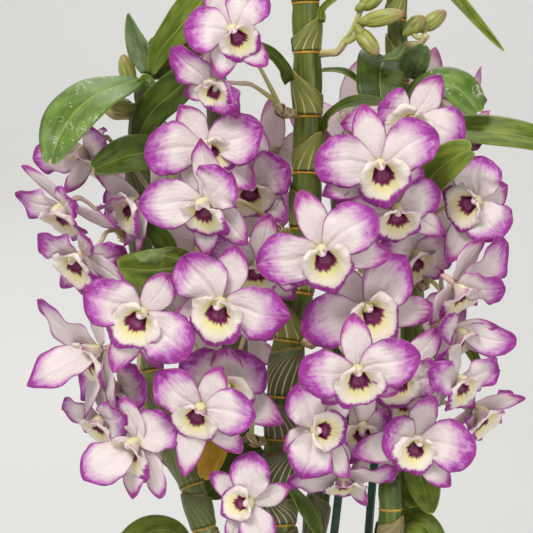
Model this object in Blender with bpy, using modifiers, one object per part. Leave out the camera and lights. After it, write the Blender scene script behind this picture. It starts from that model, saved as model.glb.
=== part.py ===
# Flowering cane orchid growing in a plain pot.
# Metres, +Z up. Origin: middle of the pot's underside, on the surface it stands on.
# The plant's side that faces -Y is its front.
import math

import bmesh
import bpy
from mathutils import Vector
from mathutils.bvhtree import BVHTree

# ---------------------------------------------------------------- driving dimensions
POT_HEIGHT = 0.125
POT_TOP_R = 0.072
POT_FOOT_R = 0.052
POT_WALL = 0.0032
POT_FLOOR = 0.004
RIM_HEIGHT = 0.022
RIM_STEP = 0.004
DRAIN_R = 0.005
DRAIN_RING = 0.027
MEDIUM_TOP = 0.112
MEDIUM_LOW = 0.030
GAP = 0.0003
CANE_R = 0.0068
STAKE_R = 0.0022
SHEET = 0.0010            # thickness of petals and leaves
PEDICEL_R = 0.0011
PEDUNCLE_R = 0.0019

# layout grid: the front view is drawn on a square grid, one unit is GRID metres on the
# plane y = 0; nearer rows are spread about EYE as a viewer there sees them in line.
GRID = 0.000515
EYE = Vector((-0.0095, -1.1, 0.3575))
MID = 266.5


def at(u, v, d=0.0):
    """Point at grid column u, grid row v (down) and depth d in millimetres behind y = 0."""
    y = d * 0.001
    k = GRID * (y - EYE.y) / -EYE.y
    return Vector((EYE.x + (u - MID) * k, y, EYE.z - (v - MID) * k))


# ---------------------------------------------------------------- layout of the canes
# name: (points (u, v, depth), radius share)
CANES = {
    "cane_main": ([(283, 760, 6), (280, 640, 4), (280, 533, 0), (281, 420, 0), (290, 330, 0), (299, 290, 0),
                   (307, 180, 0), (307, 60, -2), (304, -40, -4), (300, -110, -4)], 1.16),
    "cane_left": ([(252, 760, 2), (232, 640, -2), (205, 533, -6), (190, 480, -4), (170, 440, 6), (152, 370, 14),
                   (140, 240, 16), (138, 150, 14), (147, 88, 4)], 0.9),
    "cane_right": ([(312, 760, 2), (370, 640, 8), (398, 533, 16), (410, 430, 16), (412, 325, 14), (406, 215, 14),
                    (399, 90, 12), (396, 0, 10), (394, -50, 8)], 0.85),
    "cane_cut_stub": ([(326, 760, -10), (372, 620, -12), (389, 533, -14), (390, 480, -16)], 1.0),
    "cane_old_left": ([(268, 760, 24), (252, 640, 34), (244, 520, 40), (240, 430, 42), (232, 300, 44), (222, 160, 46),
                       (214, 60, 48)], 0.85),
    "cane_old_right": ([(298, 760, 26), (310, 640, 34), (314, 533, 38), (332, 420, 46), (338, 300, 50),
                        (342, 220, 52), (345, 164, 51)], 0.85),
}
STAKES = {
    "stake_left": [(308, 760, 10), (338, 500, 20), (348, 380, 26)],
    "stake_right": [(352, 758, 24), (371, 500, 30), (380, 400, 32)],
}

# ---------------------------------------------------------------- layout of the leaves
# name: (points base to tip, half width in grid units, facing direction, sheath points)
LEAVES = {
    "leaf_upright": ([(147, 72, 2), (141, 54, 4), (133, 34, 6), (128, 13, 6)], 12, (-0.3, -1, 0.1)),
    "leaf_upper_left": ([(150, 75, -4), (161, 50, -10), (182, 25, -16), (208, -6, -20), (238, -44, -18)], 21,
                        (-0.35, -1, 0.35)),
    "leaf_arching": ([(140, 79, -4), (121, 85, -14), (95, 95, -26), (73, 115, -36), (59, 139, -42), (50, 164, -44)],
                     25, (-0.3, -0.85, 0.55)),
    "leaf_dark_left": ([(136, 140, -4), (152, 112, -12), (174, 92, -20), (204, 66, -24)], 19, (-0.3, -1, 0.3)),
    "leaf_front_left": ([(190, 150, -8), (160, 151, -20), (128, 156, -30), (93, 170, -36)], 23, (0.0, -0.9, 0.6)),
    "leaf_folded_left": ([(214, 262, -14), (184, 266, -26), (150, 270, -34), (117, 268, -38)], 20, (0, -1, 0.5)),
    "leaf_inner_left": ([(178, 262, 0), (166, 246, -4), (154, 232, -6), (138, 224, -6)], 11, (0, -1, 0.4)),
    "leaf_face_on": ([(385, 52, 2), (381, 66, -12), (380, 84, -18), (381, 99, -20)], 24, (0, -1, 0.1)),
    "leaf_round_right": ([(409, 78, 6), (413, 66, -2), (420, 54, -6), (424, 44, -8)], 15, (0.1, -1, 0.3)),
    "leaf_spotted": ([(407, 90, -1), (432, 83, -14), (458, 89, -21), (479, 113, -23)], 23, (0.2, -0.85, 0.5)),
    "leaf_long_right": ([(413, 134, 6), (446, 130, -6), (488, 132, -14), (530, 138, -18), (562, 150, -16)], 19,
                        (0, -0.8, 0.6)),
    "leaf_front_right": ([(414, 216, 4), (418, 196, -20), (434, 174, -40), (455, 157, -50), (473, 148, -54)], 17,
                         (-0.3, -1, 0.2)),
    "leaf_top_right": ([(410, -26, 2), (430, -32, -3), (456, -4, -8), (481, 25, -12), (504, 51, -12)], 7,
                       (-0.6, -0.7, 0.5)),
    "leaf_main_upper": ([(321, 22, -8), (324, 8, -10), (346, -8, -16), (376, -18, -22), (404, -12, -26)], 9,
                        (-0.3, -0.7, 0.8)),
    "leaf_main_left": ([(289, 82, -8), (282, 66, -12), (267, 52, -18), (240, 50, -26), (214, 66, -30)], 11,
                       (0, -0.8, 0.7)),
    "leaf_main_right": ([(322, 132, -5), (330, 114, -13), (354, 102, -22), (396, 104, -28)], 7, (0, -0.8, 0.7)),
    "leaf_right_low": ([(420, 316, 10), (446, 322, -2), (466, 344, -8), (486, 381, -12)], 9, (0.4, -1, 0.4)),
    "leaf_yellow": ([(218, 422, -6), (215, 444, -12), (210, 462, -14), (203, 479, -14)], 14, (0, -1, 0.3)),
    "leaf_dark_low": ([(262, 448, 20), (246, 458, 16), (226, 474, 14), (206, 496, 14)], 22, (0, -1, 0.3)),
    "leaf_low_left": ([(190, 544, -12), (170, 531, -18), (146, 534, -22), (112, 556, -24)], 17, (0, -0.8, 0.6)),
    "leaf_low_middle": ([(290, 486, -8), (300, 500, -12), (310, 516, -14), (320, 536, -14)], 8, (0.3, -1, 0.2)),
    "leaf_low_right": ([(416, 464, 2), (421, 478, -8), (426, 494, -12), (431, 514, -14)], 15, (0, -1, 0.4)),
    "leaf_lowest_right": ([(404, 524, 6), (414, 522, -8), (428, 530, -14), (444, 556, -16)], 15, (0, -1, 0.5)),
}

# ---------------------------------------------------------------- layout of the flowers
# Each inflorescence: root on its cane (u, v, depth), then its flowers.
# A flower: middle (u, v, depth), yaw, pitch, roll in degrees, size, and the tips of its
# tepals as (u, v, forward mm); D dorsal sepal, PL PR petals, SL SR lateral sepals.
# A tepal without a tip takes its place from the flower's own frame.
SPRAYS = {
    "spray_top_left": ((298, 114, -2), [
        dict(c=(233, 31, -62), y=2, p=0, r=32, s=0.96, slim=0.92, D=(206, -12, -2), PL=(184, 28, 4), PR=(263, -12, 4),
             SL=(219, 79, -3), SR=(267, 66, -5)),
        dict(c=(215, 84, -46), y=-38, p=-8, r=18, s=0.92, slim=0.78, D=(204, 42, 0), PL=(170, 50, 2), PR=(239, 109, 6),
             SL=(182, 94, -10), SR=(236, 120, -4)),
    ]),
    "spray_upper_left": ((299, 172, 0), [
        dict(c=(206, 147, -38), y=5, p=0, r=32, s=1.05, D=(179, 105, 0), PL=(144, 155, 2), PR=(264, 127, 4),
             SL=(190, 205, -6), SR=(254, 188, -4)),
        dict(c=(250, 184, -14), y=8, p=-15, r=-5, s=0.95, PR=(290, 166, 3), SR=(286, 220, -2)),
        dict(c=(276, 152, 14), y=160, p=0, r=0, s=0.9),
    ]),
    "spray_mid_left": ((292, 232, 0), [
        dict(c=(207, 203, -64), y=-34, p=-12, r=2, s=1.0, D=(202, 138, 0), PL=(138, 205, 0), PR=(232, 172, 14),
             SL=(204, 258, -10), SR=(247, 245, 0)),
        dict(c=(257, 264, -22), y=5, p=-25, r=-12, s=0.9, D=(270, 214, 0)),
    ]),
    "spray_middle_left": ((286, 290, 0), [
        dict(c=(222, 303, -68), y=-16, p=-8, r=-11, s=1.05, D=(236, 245, 0), PL=(182, 257, 3), PR=(290, 318, 4),
             SL=(172, 325, -10), SR=(273, 340, -5)),
        dict(c=(226, 389, -34), y=0, p=10, r=5, s=1.0, D=(224, 349, 8), PL=(180, 362, 2), PR=(263, 362, 2)),
    ]),
    "spray_low_left": ((268, 440, 0), [
        dict(c=(201, 408, -60), y=-10, p=-5, r=-22, s=0.9, D=(221, 366, 2), PL=(156, 373, 3), PR=(256, 417, 4),
             SL=(184, 477, -8), SR=(241, 454, -5)),
    ]),
    "spray_bottom": ((270, 486, 0), [
        dict(c=(248, 502, -46), y=-4, p=0, r=-84, s=0.92, slim=0.82, D=(291, 487, -2), PL=(252, 452, 4), PR=(262, 553, 4),
             SL=(209, 474, -4), SR=(229, 545, -4)),
    ]),
    "spray_upper_right": ((315, 174, 0), [
        dict(c=(380, 165, -62), y=0, p=-6, r=15, s=1.0, D=(362, 104, 2), PL=(314, 163, 3), PR=(437, 132, 4),
             SL=(322, 196, -5), SR=(425, 175, -8)),
        dict(c=(396, 208, -26), y=6, p=-22, r=5, s=0.9, PR=(440, 192, -2), SL=(372, 240, -3)),
    ]),
    "spray_mid_right": ((308, 232, 0), [
        dict(c=(322, 250, -70), y=-2, p=-8, r=19, s=1.02, D=(301, 190, 2), PL=(256, 264, 4), PR=(376, 213, 4),
             SL=(290, 285, -8), SR=(391, 256, -4)),
        dict(c=(366, 309, -42), y=8, p=4, r=34, s=1.02, D=(334, 262, -2), PL=(302, 334, 3), PR=(406, 256, 4),
             SL=(352, 362, -8), SR=(438, 312, -4)),
    ]),
    "spray_middle_right": ((297, 342, 0), [
        dict(c=(357, 370, -74), y=3, p=-6, r=7, s=0.95, D=(354, 313, 2), PL=(299, 377, 4), PR=(420, 354, 6),
             SL=(322, 404, -6), SR=(398, 394, -6)),
        dict(c=(402, 374, -32), y=-2, p=-10, r=-24, s=0.9, D=(440, 329, 0), PR=(443, 378, 3)),
        dict(c=(364, 426, -28), y=-12, p=-18, r=0, s=0.85, PL=(336, 460, 0), PR=(392, 430, 2)),
    ]),
    "spray_low_right": ((292, 395, 0), [
        dict(c=(316, 430, -46), y=6, p=2, r=88, s=0.92, D=(284, 451, 0), PL=(301, 479, 4), PR=(298, 384, 3),
             SL=(350, 478, -4), SR=(352, 388, -8)),
        dict(c=(343, 474, -14), y=4, p=-50, r=10, s=0.85, slim=0.75, SL=(307, 488, 0), SR=(366, 506, -2)),
    ]),
    "spray_far_left_middle": ((152, 346, 12), [
        dict(c=(142, 313, -64), y=-2, p=-6, r=-32, s=1.0, D=(172, 275, 2), PL=(84, 292, 5), PR=(187, 358, 6),
             SL=(113, 373, -6), SR=(160, 370, -8)),
        dict(c=(120, 386, -24), y=-50, p=-15, r=0, s=0.9, SR=(152, 404, -4)),
    ]),
    "spray_far_left_low": ((170, 432, 8), [
        dict(c=(137, 443, -50), y=-36, p=-4, r=-15, s=0.95, D=(122, 397, 2), PL=(82, 478, 6), PR=(177, 423, -4),
             SL=(130, 499, 0), SR=(160, 499, -4)),
        dict(c=(100, 350, -34), y=-60, p=-8, r=-10, s=0.95, D=(88, 313, -10), PL=(35, 302, 0), PR=(26, 383, 10),
             SL=(80, 422, -4), SR=(110, 417, 6)),
        dict(c=(103, 418, -12), y=-50, p=-25, r=0, s=0.8),
    ]),
    "spray_far_left_upper": ((140, 238, 16), [
        dict(c=(64, 207, -26), y=-58, p=-30, r=10, s=0.95, slim=0.78, D=(20, 167, 0), PL=(16, 193, -10), PR=(74, 200, 14),
             SR=(119, 231, 4)),
        dict(c=(81, 256, -36), y=-42, p=-20, r=0, s=0.95, slim=0.86, D=(87, 240, 16), PL=(38, 234, 8), PR=(128, 256, -4)),
    ]),
    "spray_far_left_top": ((138, 166, 14), [
        dict(c=(136, 203, -20), y=-62, p=0, r=10, s=0.9, D=(95, 172, -2), PR=(97, 210, 10), SR=(138, 252, 0)),
        dict(c=(86, 148, -20), y=-55, p=-35, r=0, s=0.9, D=(103, 125, -6), PL=(32, 160, 0), SR=(66, 194, 4)),
    ]),
    "spray_far_right_top": ((400, 108, 12), [
        dict(c=(411, 121, -38), y=4, p=0, r=-28, s=1.0, D=(441, 75, 2), PL=(378, 107, 3), PR=(464, 142, 2),
             SL=(339, 124, -10), SR=(432, 175, -8)),
        dict(c=(430, 98, 34), y=150, p=5, r=15, s=0.9, slim=0.8, D=(437, 48, 0)),
        dict(c=(466, 120, 14), y=120, p=10, r=-10, s=0.85, slim=0.7, D=(484, 68, 0), PL=(474, 150, 0)),
    ]),
    "spray_far_right_upper": ((408, 230, 14), [
        dict(c=(476, 201, -34), y=-8, p=0, r=-66, s=0.98, D=(508, 186, -4), PL=(482, 156, 5), PR=(502, 238, 4),
             SL=(441, 176, -6), SR=(448, 263, -8)),
        dict(c=(412, 255, -10), y=48, p=-8, r=0, s=0.9, D=(437, 201, 0), PR=(457, 242, 4), SR=(445, 276, -6)),
    ]),
    "spray_far_right_middle": ((414, 285, 13), [
        dict(c=(457, 285, -36), y=48, p=-28, r=10, s=0.95, D=(484, 237, 2), PL=(505, 290, 10), PR=(508, 242, -8),
             SL=(431, 326, 4)),
    ]),
    "spray_far_right_low": ((413, 350, 14), [
        dict(c=(454, 332, -30), y=60, p=-15, r=0, s=0.9, slim=0.7, D=(499, 326, 2), PR=(517, 343, -4), SR=(506, 354, -8),
             SL=(455, 388, 6)),
        dict(c=(457, 380, -36), y=46, p=-6, r=0, s=0.82, slim=0.8),
    ]),
    "spray_far_right_lowest": ((411, 424, 16), [
        dict(c=(415, 441, -48), y=16, p=-2, r=-20, s=0.95, D=(434, 396, 2), PL=(384, 430, 8), PR=(476, 452, 4),
             SL=(353, 453, -4), SR=(452, 487, -4)),
        dict(c=(475, 410, -14), y=58, p=-16, r=0, s=0.95, slim=0.72, D=(526, 400, 0), PL=(468, 440, 8)),
        dict(c=(398, 401, 9), y=28, p=22, r=0, s=0.8),
    ]),
    "spray_back_top": ((343, 196, 52), [
        dict(c=(346, 118, 74), y=168, p=-5, r=-10, s=0.95, slim=0.9, D=(363, 56, 0)),
        dict(c=(388, 150, 84), y=164, p=-8, r=14, s=0.95),
    ]),
    "spray_back_left_high": ((228, 240, 45), [
        dict(c=(236, 205, 86), y=182, p=-4, r=12, s=0.98),
        dict(c=(168, 172, 62), y=208, p=-6, r=-16, s=0.98),
        dict(c=(198, 246, 72), y=200, p=-10, r=24, s=0.95),
    ]),
    "spray_back_left_low": ((238, 390, 43), [
        dict(c=(226, 340, 88), y=188, p=-8, r=-14, s=0.98),
        dict(c=(150, 300, 64), y=214, p=-6, r=10, s=0.98),
        dict(c=(182, 440, 62), y=206, p=-12, r=20, s=0.95),
    ]),
    "spray_back_right_high": ((339, 280, 50), [
        dict(c=(350, 236, 90), y=176, p=-5, r=-12, s=0.98),
        dict(c=(424, 190, 64), y=150, p=-4, r=14, s=0.98),
    ]),
    "spray_back_right_low": ((330, 450, 46), [
        dict(c=(330, 390, 90), y=176, p=-8, r=8, s=0.98),
        dict(c=(412, 330, 66), y=152, p=-6, r=-18, s=0.98),
        dict(c=(402, 452, 58), y=146, p=-12, r=12, s=0.95),
    ]),
}
# unopened buds: root on the cane, then (base, tip) of each bud, all as (u, v, depth)
BUDS = {
    "buds_main": ((318, 54, -2), [((362, 22, -26), (404, 13, -34)), ((360, 8, -20), (384, -8, -22)),
                                  ((358, 30, -26), (378, 55, -32))]),
    "buds_right": ((401, 46, 10), [((408, 32, 0), (424, 16, -4)), ((422, 29, 4), (446, 11, 2))]),
    "buds_left": ((141, 116, 11), [((131, 86, 14), (123, 54, 10)), ((133, 108, 8), (109, 104, 2))]),
}

CANON = {"D": 90.0, "PR": 11.0, "PL": 169.0, "SR": -36.0, "SL": 216.0}
LENGTH = {"D": 0.0335, "PR": 0.0345, "PL": 0.0345, "SR": 0.0335, "SL": 0.0335}
BULK = {"D": 0.0076, "PR": 0.0122, "PL": 0.0122, "SR": 0.0074, "SL": 0.0074}
HUB_R = 0.0042
CORNERS = (-62.0, -12.0, 50.0, 130.0, 192.0, 242.0, 256.0, 270.0, 284.0)   # rim of the disc, tepal by tepal


def frame_of(f):
    """Right, up and facing directions of a flower."""
    yaw, pitch, roll = math.radians(f["y"]), math.radians(f["p"]), math.radians(f["r"])
    n = Vector((math.sin(yaw) * math.cos(pitch), -math.cos(yaw) * math.cos(pitch), math.sin(pitch)))
    r0 = Vector((math.cos(yaw), math.sin(yaw), 0.0))
    u0 = n.cross(r0)
    r = r0 * math.cos(roll) + u0 * math.sin(roll)
    return r, n.cross(r), n


def tips_of(f):
    """Vector from the middle to the tip of each tepal."""
    r, u, n = frame_of(f)
    out = {}
    for key, deg in CANON.items():
        if key in f:
            tu, tv, fwd = f[key]
            out[key] = at(tu, tv, f["c"][2] - fwd) - at(*f["c"])
        else:
            a = math.radians(deg)
            lean = 0.16 if key[0] == "P" else -0.1
            out[key] = (r * math.cos(a) + u * math.sin(a) + n * lean).normalized() * LENGTH[key] * f["s"]
    return out


# ---------------------------------------------------------------- small helpers
def clear_scene():
    for ob in list(bpy.data.objects):
        bpy.data.objects.remove(ob, do_unlink=True)


def new_collection(name):
    col = bpy.data.collections.new(name)
    bpy.context.scene.collection.children.link(col)
    return col


def paint(name, color, rough=0.5, sheen=0.0):
    mat = bpy.data.materials.new(name)
    mat.use_nodes = True
    sh = mat.node_tree.nodes["Principled BSDF"]
    sh.inputs["Base Color"].default_value = (*color, 1.0)
    sh.inputs["Roughness"].default_value = rough
    sh.inputs["Metallic"].default_value = 0.0
    mat.diffuse_color = (*color, 1.0)
    return mat


def add_object(name, mesh, col, mat=None):
    ob = bpy.data.objects.new(name, mesh)
    col.objects.link(ob)
    if mat is not None:
        ob.data.materials.clear()
        ob.data.materials.append(mat)
    return ob


def from_bmesh(name, bm):
    mesh = bpy.data.meshes.new(name)
    bm.to_mesh(mesh)
    bm.free()
    return mesh


def evaluated_mesh(ob):
    dg = bpy.context.evaluated_depsgraph_get()
    return bpy.data.meshes.new_from_object(ob.evaluated_get(dg))


def smooth_path(points, per=3):
    """Points of a smooth curve through the given ones."""
    pts = [Vector(p) for p in points]
    ext = [pts[0] * 2 - pts[1]] + pts + [pts[-1] * 2 - pts[-2]]
    out = []
    for i in range(1, len(ext) - 2):
        p0, p1, p2, p3 = ext[i - 1:i + 3]
        for k in range(per):
            t = k / per
            out.append(0.5 * ((2 * p1) + (p2 - p0) * t + (2 * p0 - 5 * p1 + 4 * p2 - p3) * t * t
                              + (3 * p1 - p0 - 3 * p2 + p3) * t ** 3))
    out.append(pts[-1])
    return out


def tube_mesh(name, pts, radius, res, col, taper=None):
    """A closed tube along the points, from a bevelled curve with filled ends."""
    cu = bpy.data.curves.new(name, "CURVE")
    cu.dimensions = "3D"
    sp = cu.splines.new("POLY")
    sp.points.add(len(pts) - 1)
    for i, p in enumerate(pts):
        sp.points[i].co = (*p, 1.0)
        sp.points[i].radius = 1.0 if taper is None else taper[i]
    cu.bevel_depth = radius
    cu.bevel_resolution = res
    cu.use_fill_caps = True
    ob = bpy.data.objects.new(name, cu)
    col.objects.link(ob)
    mesh = evaluated_mesh(ob)
    bpy.data.objects.remove(ob, do_unlink=True)
    bpy.data.curves.remove(cu)
    bm = bmesh.new()
    bm.from_mesh(mesh)
    bmesh.ops.remove_doubles(bm, verts=bm.verts, dist=0.00001)
    bmesh.ops.recalc_face_normals(bm, faces=bm.faces)
    bm.to_mesh(mesh)
    bm.free()
    return mesh


def sheet_grid(bm, nx, ny, place):
    """A grid of nx by ny cells, each corner moved by place(s, t); s in -1..1, t in 0..1."""
    made = bmesh.ops.create_grid(bm, x_segments=nx, y_segments=ny, size=1.0)["verts"]
    for v in made:
        v.co = place(v.co.x, (v.co.y + 1) / 2)
    return made


def thicken(bm, thickness):
    bmesh.ops.remove_doubles(bm, verts=bm.verts, dist=0.00002)
    bmesh.ops.recalc_face_normals(bm, faces=bm.faces)
    bmesh.ops.solidify(bm, geom=bm.faces[:], thickness=thickness)
    bmesh.ops.recalc_face_normals(bm, faces=bm.faces)


def width_of(key, t):
    """Half width share of a tepal along its length."""
    if key[0] == "P":
        return 0.30 + 0.70 * math.sin(math.pi * min(1.0, t / 0.62) / 2) if t < 0.62 else \
            math.sqrt(max(0.0, 1 - ((t - 0.62) / 0.40) ** 2))
    return 0.42 + 0.58 * math.sin(math.pi * min(1.0, t / 0.55) / 2) if t < 0.55 else \
        math.sqrt(max(0.0, 1 - ((t - 0.55) / 0.48) ** 2))


def tepal_point(f, key, tip, base, s, t):
    """Point on a tepal; s runs across it, t from its foot to its tip."""
    r, u, n = frame_of(f)
    axis = tip - base
    side = axis.cross(n)
    if side.length < 0.35 * axis.length:
        side = axis.cross(u)
    side.normalize()
    face = side.cross(axis).normalized()
    w = BULK[key] * f["s"] * f.get("slim", 1.0) * width_of(key, t)
    bow = 0.10 if key[0] == "P" else -0.03
    lift = math.sin(math.pi * t) * bow * axis.length
    curl = -abs(s) ** 2 * w * (0.10 if key[0] == "P" else 0.12)
    if side.dot(r * axis.dot(u) - u * axis.dot(r)) < 0:
        side, face = -side, -face
    if face.dot(n) < 0:
        face = -face
    return base + axis * t - side * (s * w) + face * (lift - curl)


def flower_sheet(f):
    """Coarse open sheet of one flower about its own middle: a small disc that its five
    tepals and its lip grow from."""
    r, u, n = frame_of(f)
    tips = tips_of(f)
    sheet = bmesh.new()
    ring = bmesh.ops.create_circle(sheet, cap_ends=True, segments=len(CORNERS), radius=HUB_R)["verts"]
    corner = [(r * math.cos(math.radians(a)) + u * math.sin(math.radians(a))) * HUB_R for a in CORNERS]
    for v, spot in zip(ring, corner):
        v.co = spot
    for i, key in enumerate(("SR", "PR", "D", "PL", "SL")):
        a, b = corner[i], corner[i + 1]

        def place(s, t, key=key, a=a, b=b):
            if t < 0.1:
                return a if s < 0 else b
            base = (a + b) * 0.5
            return tepal_point(f, key, tips[key], base * 0.5, s, 0.62 if t < 0.6 else 0.95)

        sheet_grid(sheet, 1, 2, place)
    foot = corner[5:] + corner[:1]
    down = (n * 0.90 - u * 0.42).normalized()
    over = r.cross(down) * -1.0

    def lip_point(s, t):
        if t < 0.1:
            return foot[int(round((s + 1) * 2))]
        phi = s * math.radians(150)
        ray = -over * math.cos(phi) + r * math.sin(phi)
        flare = 0.0125 * (0.5 + 0.5 * math.cos(phi)) + 0.0075 * (0.5 - 0.5 * math.cos(phi))
        rad, run = (0.0046, 0.0060) if t < 0.6 else (0.0046 + flare, 0.0125)
        return (down * run + ray * rad) * f["s"]

    sheet_grid(sheet, 4, 2, lip_point)
    return sheet


def grow_stem(bm, n, path):
    """Draws the back of the disc out into the flower's own stalk, along the path."""
    back = [f for f in bm.faces if len(f.verts) == len(CORNERS)]
    face = max(back, key=lambda f: f.calc_center_median().dot(-n))
    bmesh.ops.inset_individual(bm, faces=[face], thickness=0.0016)
    centre = face.calc_center_median()
    spokes = [(v.co - centre).normalized() for v in face.verts]
    order = list(face.verts)
    heading = -n
    for i in range(1, len(path)):
        ahead = (path[min(i + 1, len(path) - 1)] - path[i - 1]).normalized()
        turn = heading.rotation_difference(ahead)
        spokes = [turn @ s for s in spokes]
        heading = ahead
        new = bmesh.ops.extrude_discrete_faces(bm, faces=[face])["faces"][0]
        for v, s in zip(new.verts, spokes):
            v.co = path[i] + s * PEDICEL_R
        face = new


# ---------------------------------------------------------------- leaves
def leaf_frames(points, half, face):
    path = smooth_path([at(*p) for p in points], 1)
    face = Vector(face).normalized()
    rows = []
    for i, p in enumerate(path):
        a = path[max(0, i - 1)]
        b = path[min(len(path) - 1, i + 1)]
        tan = (b - a).normalized()
        side = tan.cross(face)
        side = side.normalized() if side.length > 0.15 else tan.cross(Vector((0, 0, 1))).normalized()
        rows.append((p, side, side.cross(tan).normalized()))
    return rows


def leaf_width(t):
    if t < 0.5:
        return 0.34 + 0.66 * math.sin(math.pi * t) ** 0.9
    return math.sqrt(max(0.0, 1 - ((t - 0.5) / 0.53) ** 2))


def leaf_mesh(name, points, half, face):
    rows = leaf_frames(points, half, face)
    bm = bmesh.new()
    last = len(rows) - 1

    def place(s, t):
        x = t * last
        i = min(int(round(x)), last)
        p, side, up = rows[i]
        w = half * GRID * leaf_width(i / last)
        return p + side * (s * w) + up * (abs(s) * w * 0.16)

    sheet_grid(bm, 2, last, place)
    thicken(bm, SHEET)
    return from_bmesh(name, bm)


def tree_of(mesh, eps=0.00035):
    return BVHTree.FromPolygons([v.co.copy() for v in mesh.vertices], [tuple(p.vertices) for p in mesh.polygons],
                                epsilon=eps)


def moved(mesh, off):
    copy = mesh.copy()
    for v in copy.vertices:
        v.co += off
    return copy


# ---------------------------------------------------------------- build
clear_scene()
PARTS = new_collection("dendrobium_orchid")
CUTTERS = new_collection("cutters")
HELP = new_collection("construction")

GREEN = paint("leaf_green", (0.075, 0.135, 0.030), 0.38)
CANE = paint("cane_green", (0.13, 0.17, 0.045), 0.35)
PETAL = paint("petal", (0.72, 0.42, 0.68), 0.5)
BUD = paint("bud_green", (0.45, 0.46, 0.14), 0.45)
CLAY = paint("pot_clay", (0.50, 0.24, 0.14), 0.8)
BARK = paint("bark", (0.13, 0.075, 0.04), 0.95)
STAKE = paint("stake_green", (0.02, 0.07, 0.045), 0.4)
YELLOW = paint("leaf_yellow", (0.42, 0.30, 0.03), 0.5)


def turned(name, profile, steps, col, mat):
    """A turned solid: the profile runs from the top axis down the outer side to the bottom."""
    mesh = bpy.data.meshes.new(name)
    mesh.from_pydata([(x, 0, z) for x, z in profile], [(i, i + 1) for i in range(len(profile) - 1)], [])
    ob = add_object(name, mesh, col, mat)
    mod = ob.modifiers.new("turn", "SCREW")
    mod.steps = steps
    mod.render_steps = steps
    mod.use_merge_vertices = True
    mod.merge_threshold = 0.00001
    return ob


def cut(ob, cutter):
    mod = ob.modifiers.new("cut", "BOOLEAN")
    mod.operation = "DIFFERENCE"
    mod.object = cutter
    mod.solver = "EXACT"
    cutter.hide_render = True
    cutter.display_type = "WIRE"


# pot: foot, straight tapering wall, stepped rim; open at the top
z = POT_HEIGHT
step_r = POT_TOP_R - RIM_STEP
pot = turned("pot", [
    (0.0, POT_FLOOR + 0.002), (POT_FOOT_R - POT_WALL - 0.003, POT_FLOOR + 0.002),
    (POT_FOOT_R - POT_WALL, POT_FLOOR + 0.005),
    (step_r - POT_WALL, z - RIM_HEIGHT), (POT_TOP_R - POT_WALL, z - 0.001), (POT_TOP_R - POT_WALL + 0.001, z),
    (POT_TOP_R - 0.001, z), (POT_TOP_R, z - 0.0015), (POT_TOP_R - 0.0012, z - RIM_HEIGHT + 0.001),
    (POT_TOP_R - 0.0022, z - RIM_HEIGHT), (step_r - 0.0006, z - RIM_HEIGHT),
    (POT_FOOT_R + 0.0005, 0.002), (POT_FOOT_R - 0.0015, 0.0), (0.0, 0.0)], 28, PARTS, CLAY)
for i in range(4):
    a = math.radians(45 + 90 * i)
    bm = bmesh.new()
    bmesh.ops.create_cone(bm, cap_ends=True, segments=8, radius1=DRAIN_R, radius2=DRAIN_R, depth=0.03)
    hole = add_object("drain_%d" % i, from_bmesh("drain", bm), CUTTERS)
    hole.location = (DRAIN_RING * math.cos(a), DRAIN_RING * math.sin(a), 0.004)
    cut(pot, hole)


def inner_r(height):
    """Inner radius of the pot at a height."""
    t = (height - POT_FLOOR - 0.005) / (POT_HEIGHT - RIM_HEIGHT - POT_FLOOR - 0.005)
    return (POT_FOOT_R - POT_WALL) + t * ((step_r - POT_WALL) - (POT_FOOT_R - POT_WALL))


neck = POT_HEIGHT - RIM_HEIGHT
lift = (MEDIUM_TOP - neck) / RIM_HEIGHT
medium = turned("bark_medium", [
    (0.0, MEDIUM_TOP + 0.004), (0.030, MEDIUM_TOP + 0.003), (0.054, MEDIUM_TOP + 0.0005),
    (step_r - POT_WALL - GAP * 2 + lift * RIM_STEP * 0.7, MEDIUM_TOP - 0.001),
    (step_r - POT_WALL - GAP * 2, neck), (inner_r(MEDIUM_LOW) - GAP * 2, MEDIUM_LOW), (0.0, MEDIUM_LOW)],
    24, PARTS, BARK)

# canes and stakes stand in holes of the medium
fixed = []          # (name, search tree) of everything that stays where it is


def stand(name, points, radius, res, mat, per, shares=None):
    pts = smooth_path([at(*p) for p in points], per)
    mesh = tube_mesh(name, pts, radius, res, HELP, shares)
    add_object(name, mesh, PARTS, mat)
    low = [p for p in pts if p.z < MEDIUM_TOP + 0.03]
    nxt = pts[len(low)]
    sleeve = [low[0] - (low[1] - low[0]).normalized() * 0.006 if len(low) > 1 else low[0]] + low[1:] + [nxt]
    cutter = add_object(name + "_hole", tube_mesh(name + "_hole", sleeve, radius * 1.10 + 0.0006, res, HELP), CUTTERS)
    cut(medium, cutter)
    fixed.append((name, tree_of(mesh)))


for name, (points, share) in CANES.items():
    count = len(points)
    taper = [1.0 - 0.22 * (i / (count - 1)) ** 2 for i in range(count)]
    stand(name, points, CANE_R * share, 2, CANE, 1, taper if name != "cane_cut_stub" else None)
for name, points in STAKES.items():
    stand(name, points, STAKE_R, 1, STAKE, 1)

for name, (points, half, face) in LEAVES.items():
    mesh = leaf_mesh(name, points, half, face)
    add_object(name, mesh, PARTS, YELLOW if name == "leaf_yellow" else GREEN)
    fixed.append((name, tree_of(mesh)))


def bud_mesh(a, b):
    """A bud: a ball drawn out from foot to tip."""
    bm = bmesh.new()
    bmesh.ops.create_uvsphere(bm, u_segments=6, v_segments=5, radius=1.0)
    axis = b - a
    rot = axis.to_track_quat("Z", "Y")
    for v in bm.verts:
        t = (v.co.z + 1) / 2
        fat = 0.0048 * (1.0 - 0.35 * t)
        v.co = a + rot @ Vector((v.co.x * fat, v.co.y * fat, t * axis.length))
    return from_bmesh("bud", bm)


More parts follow.
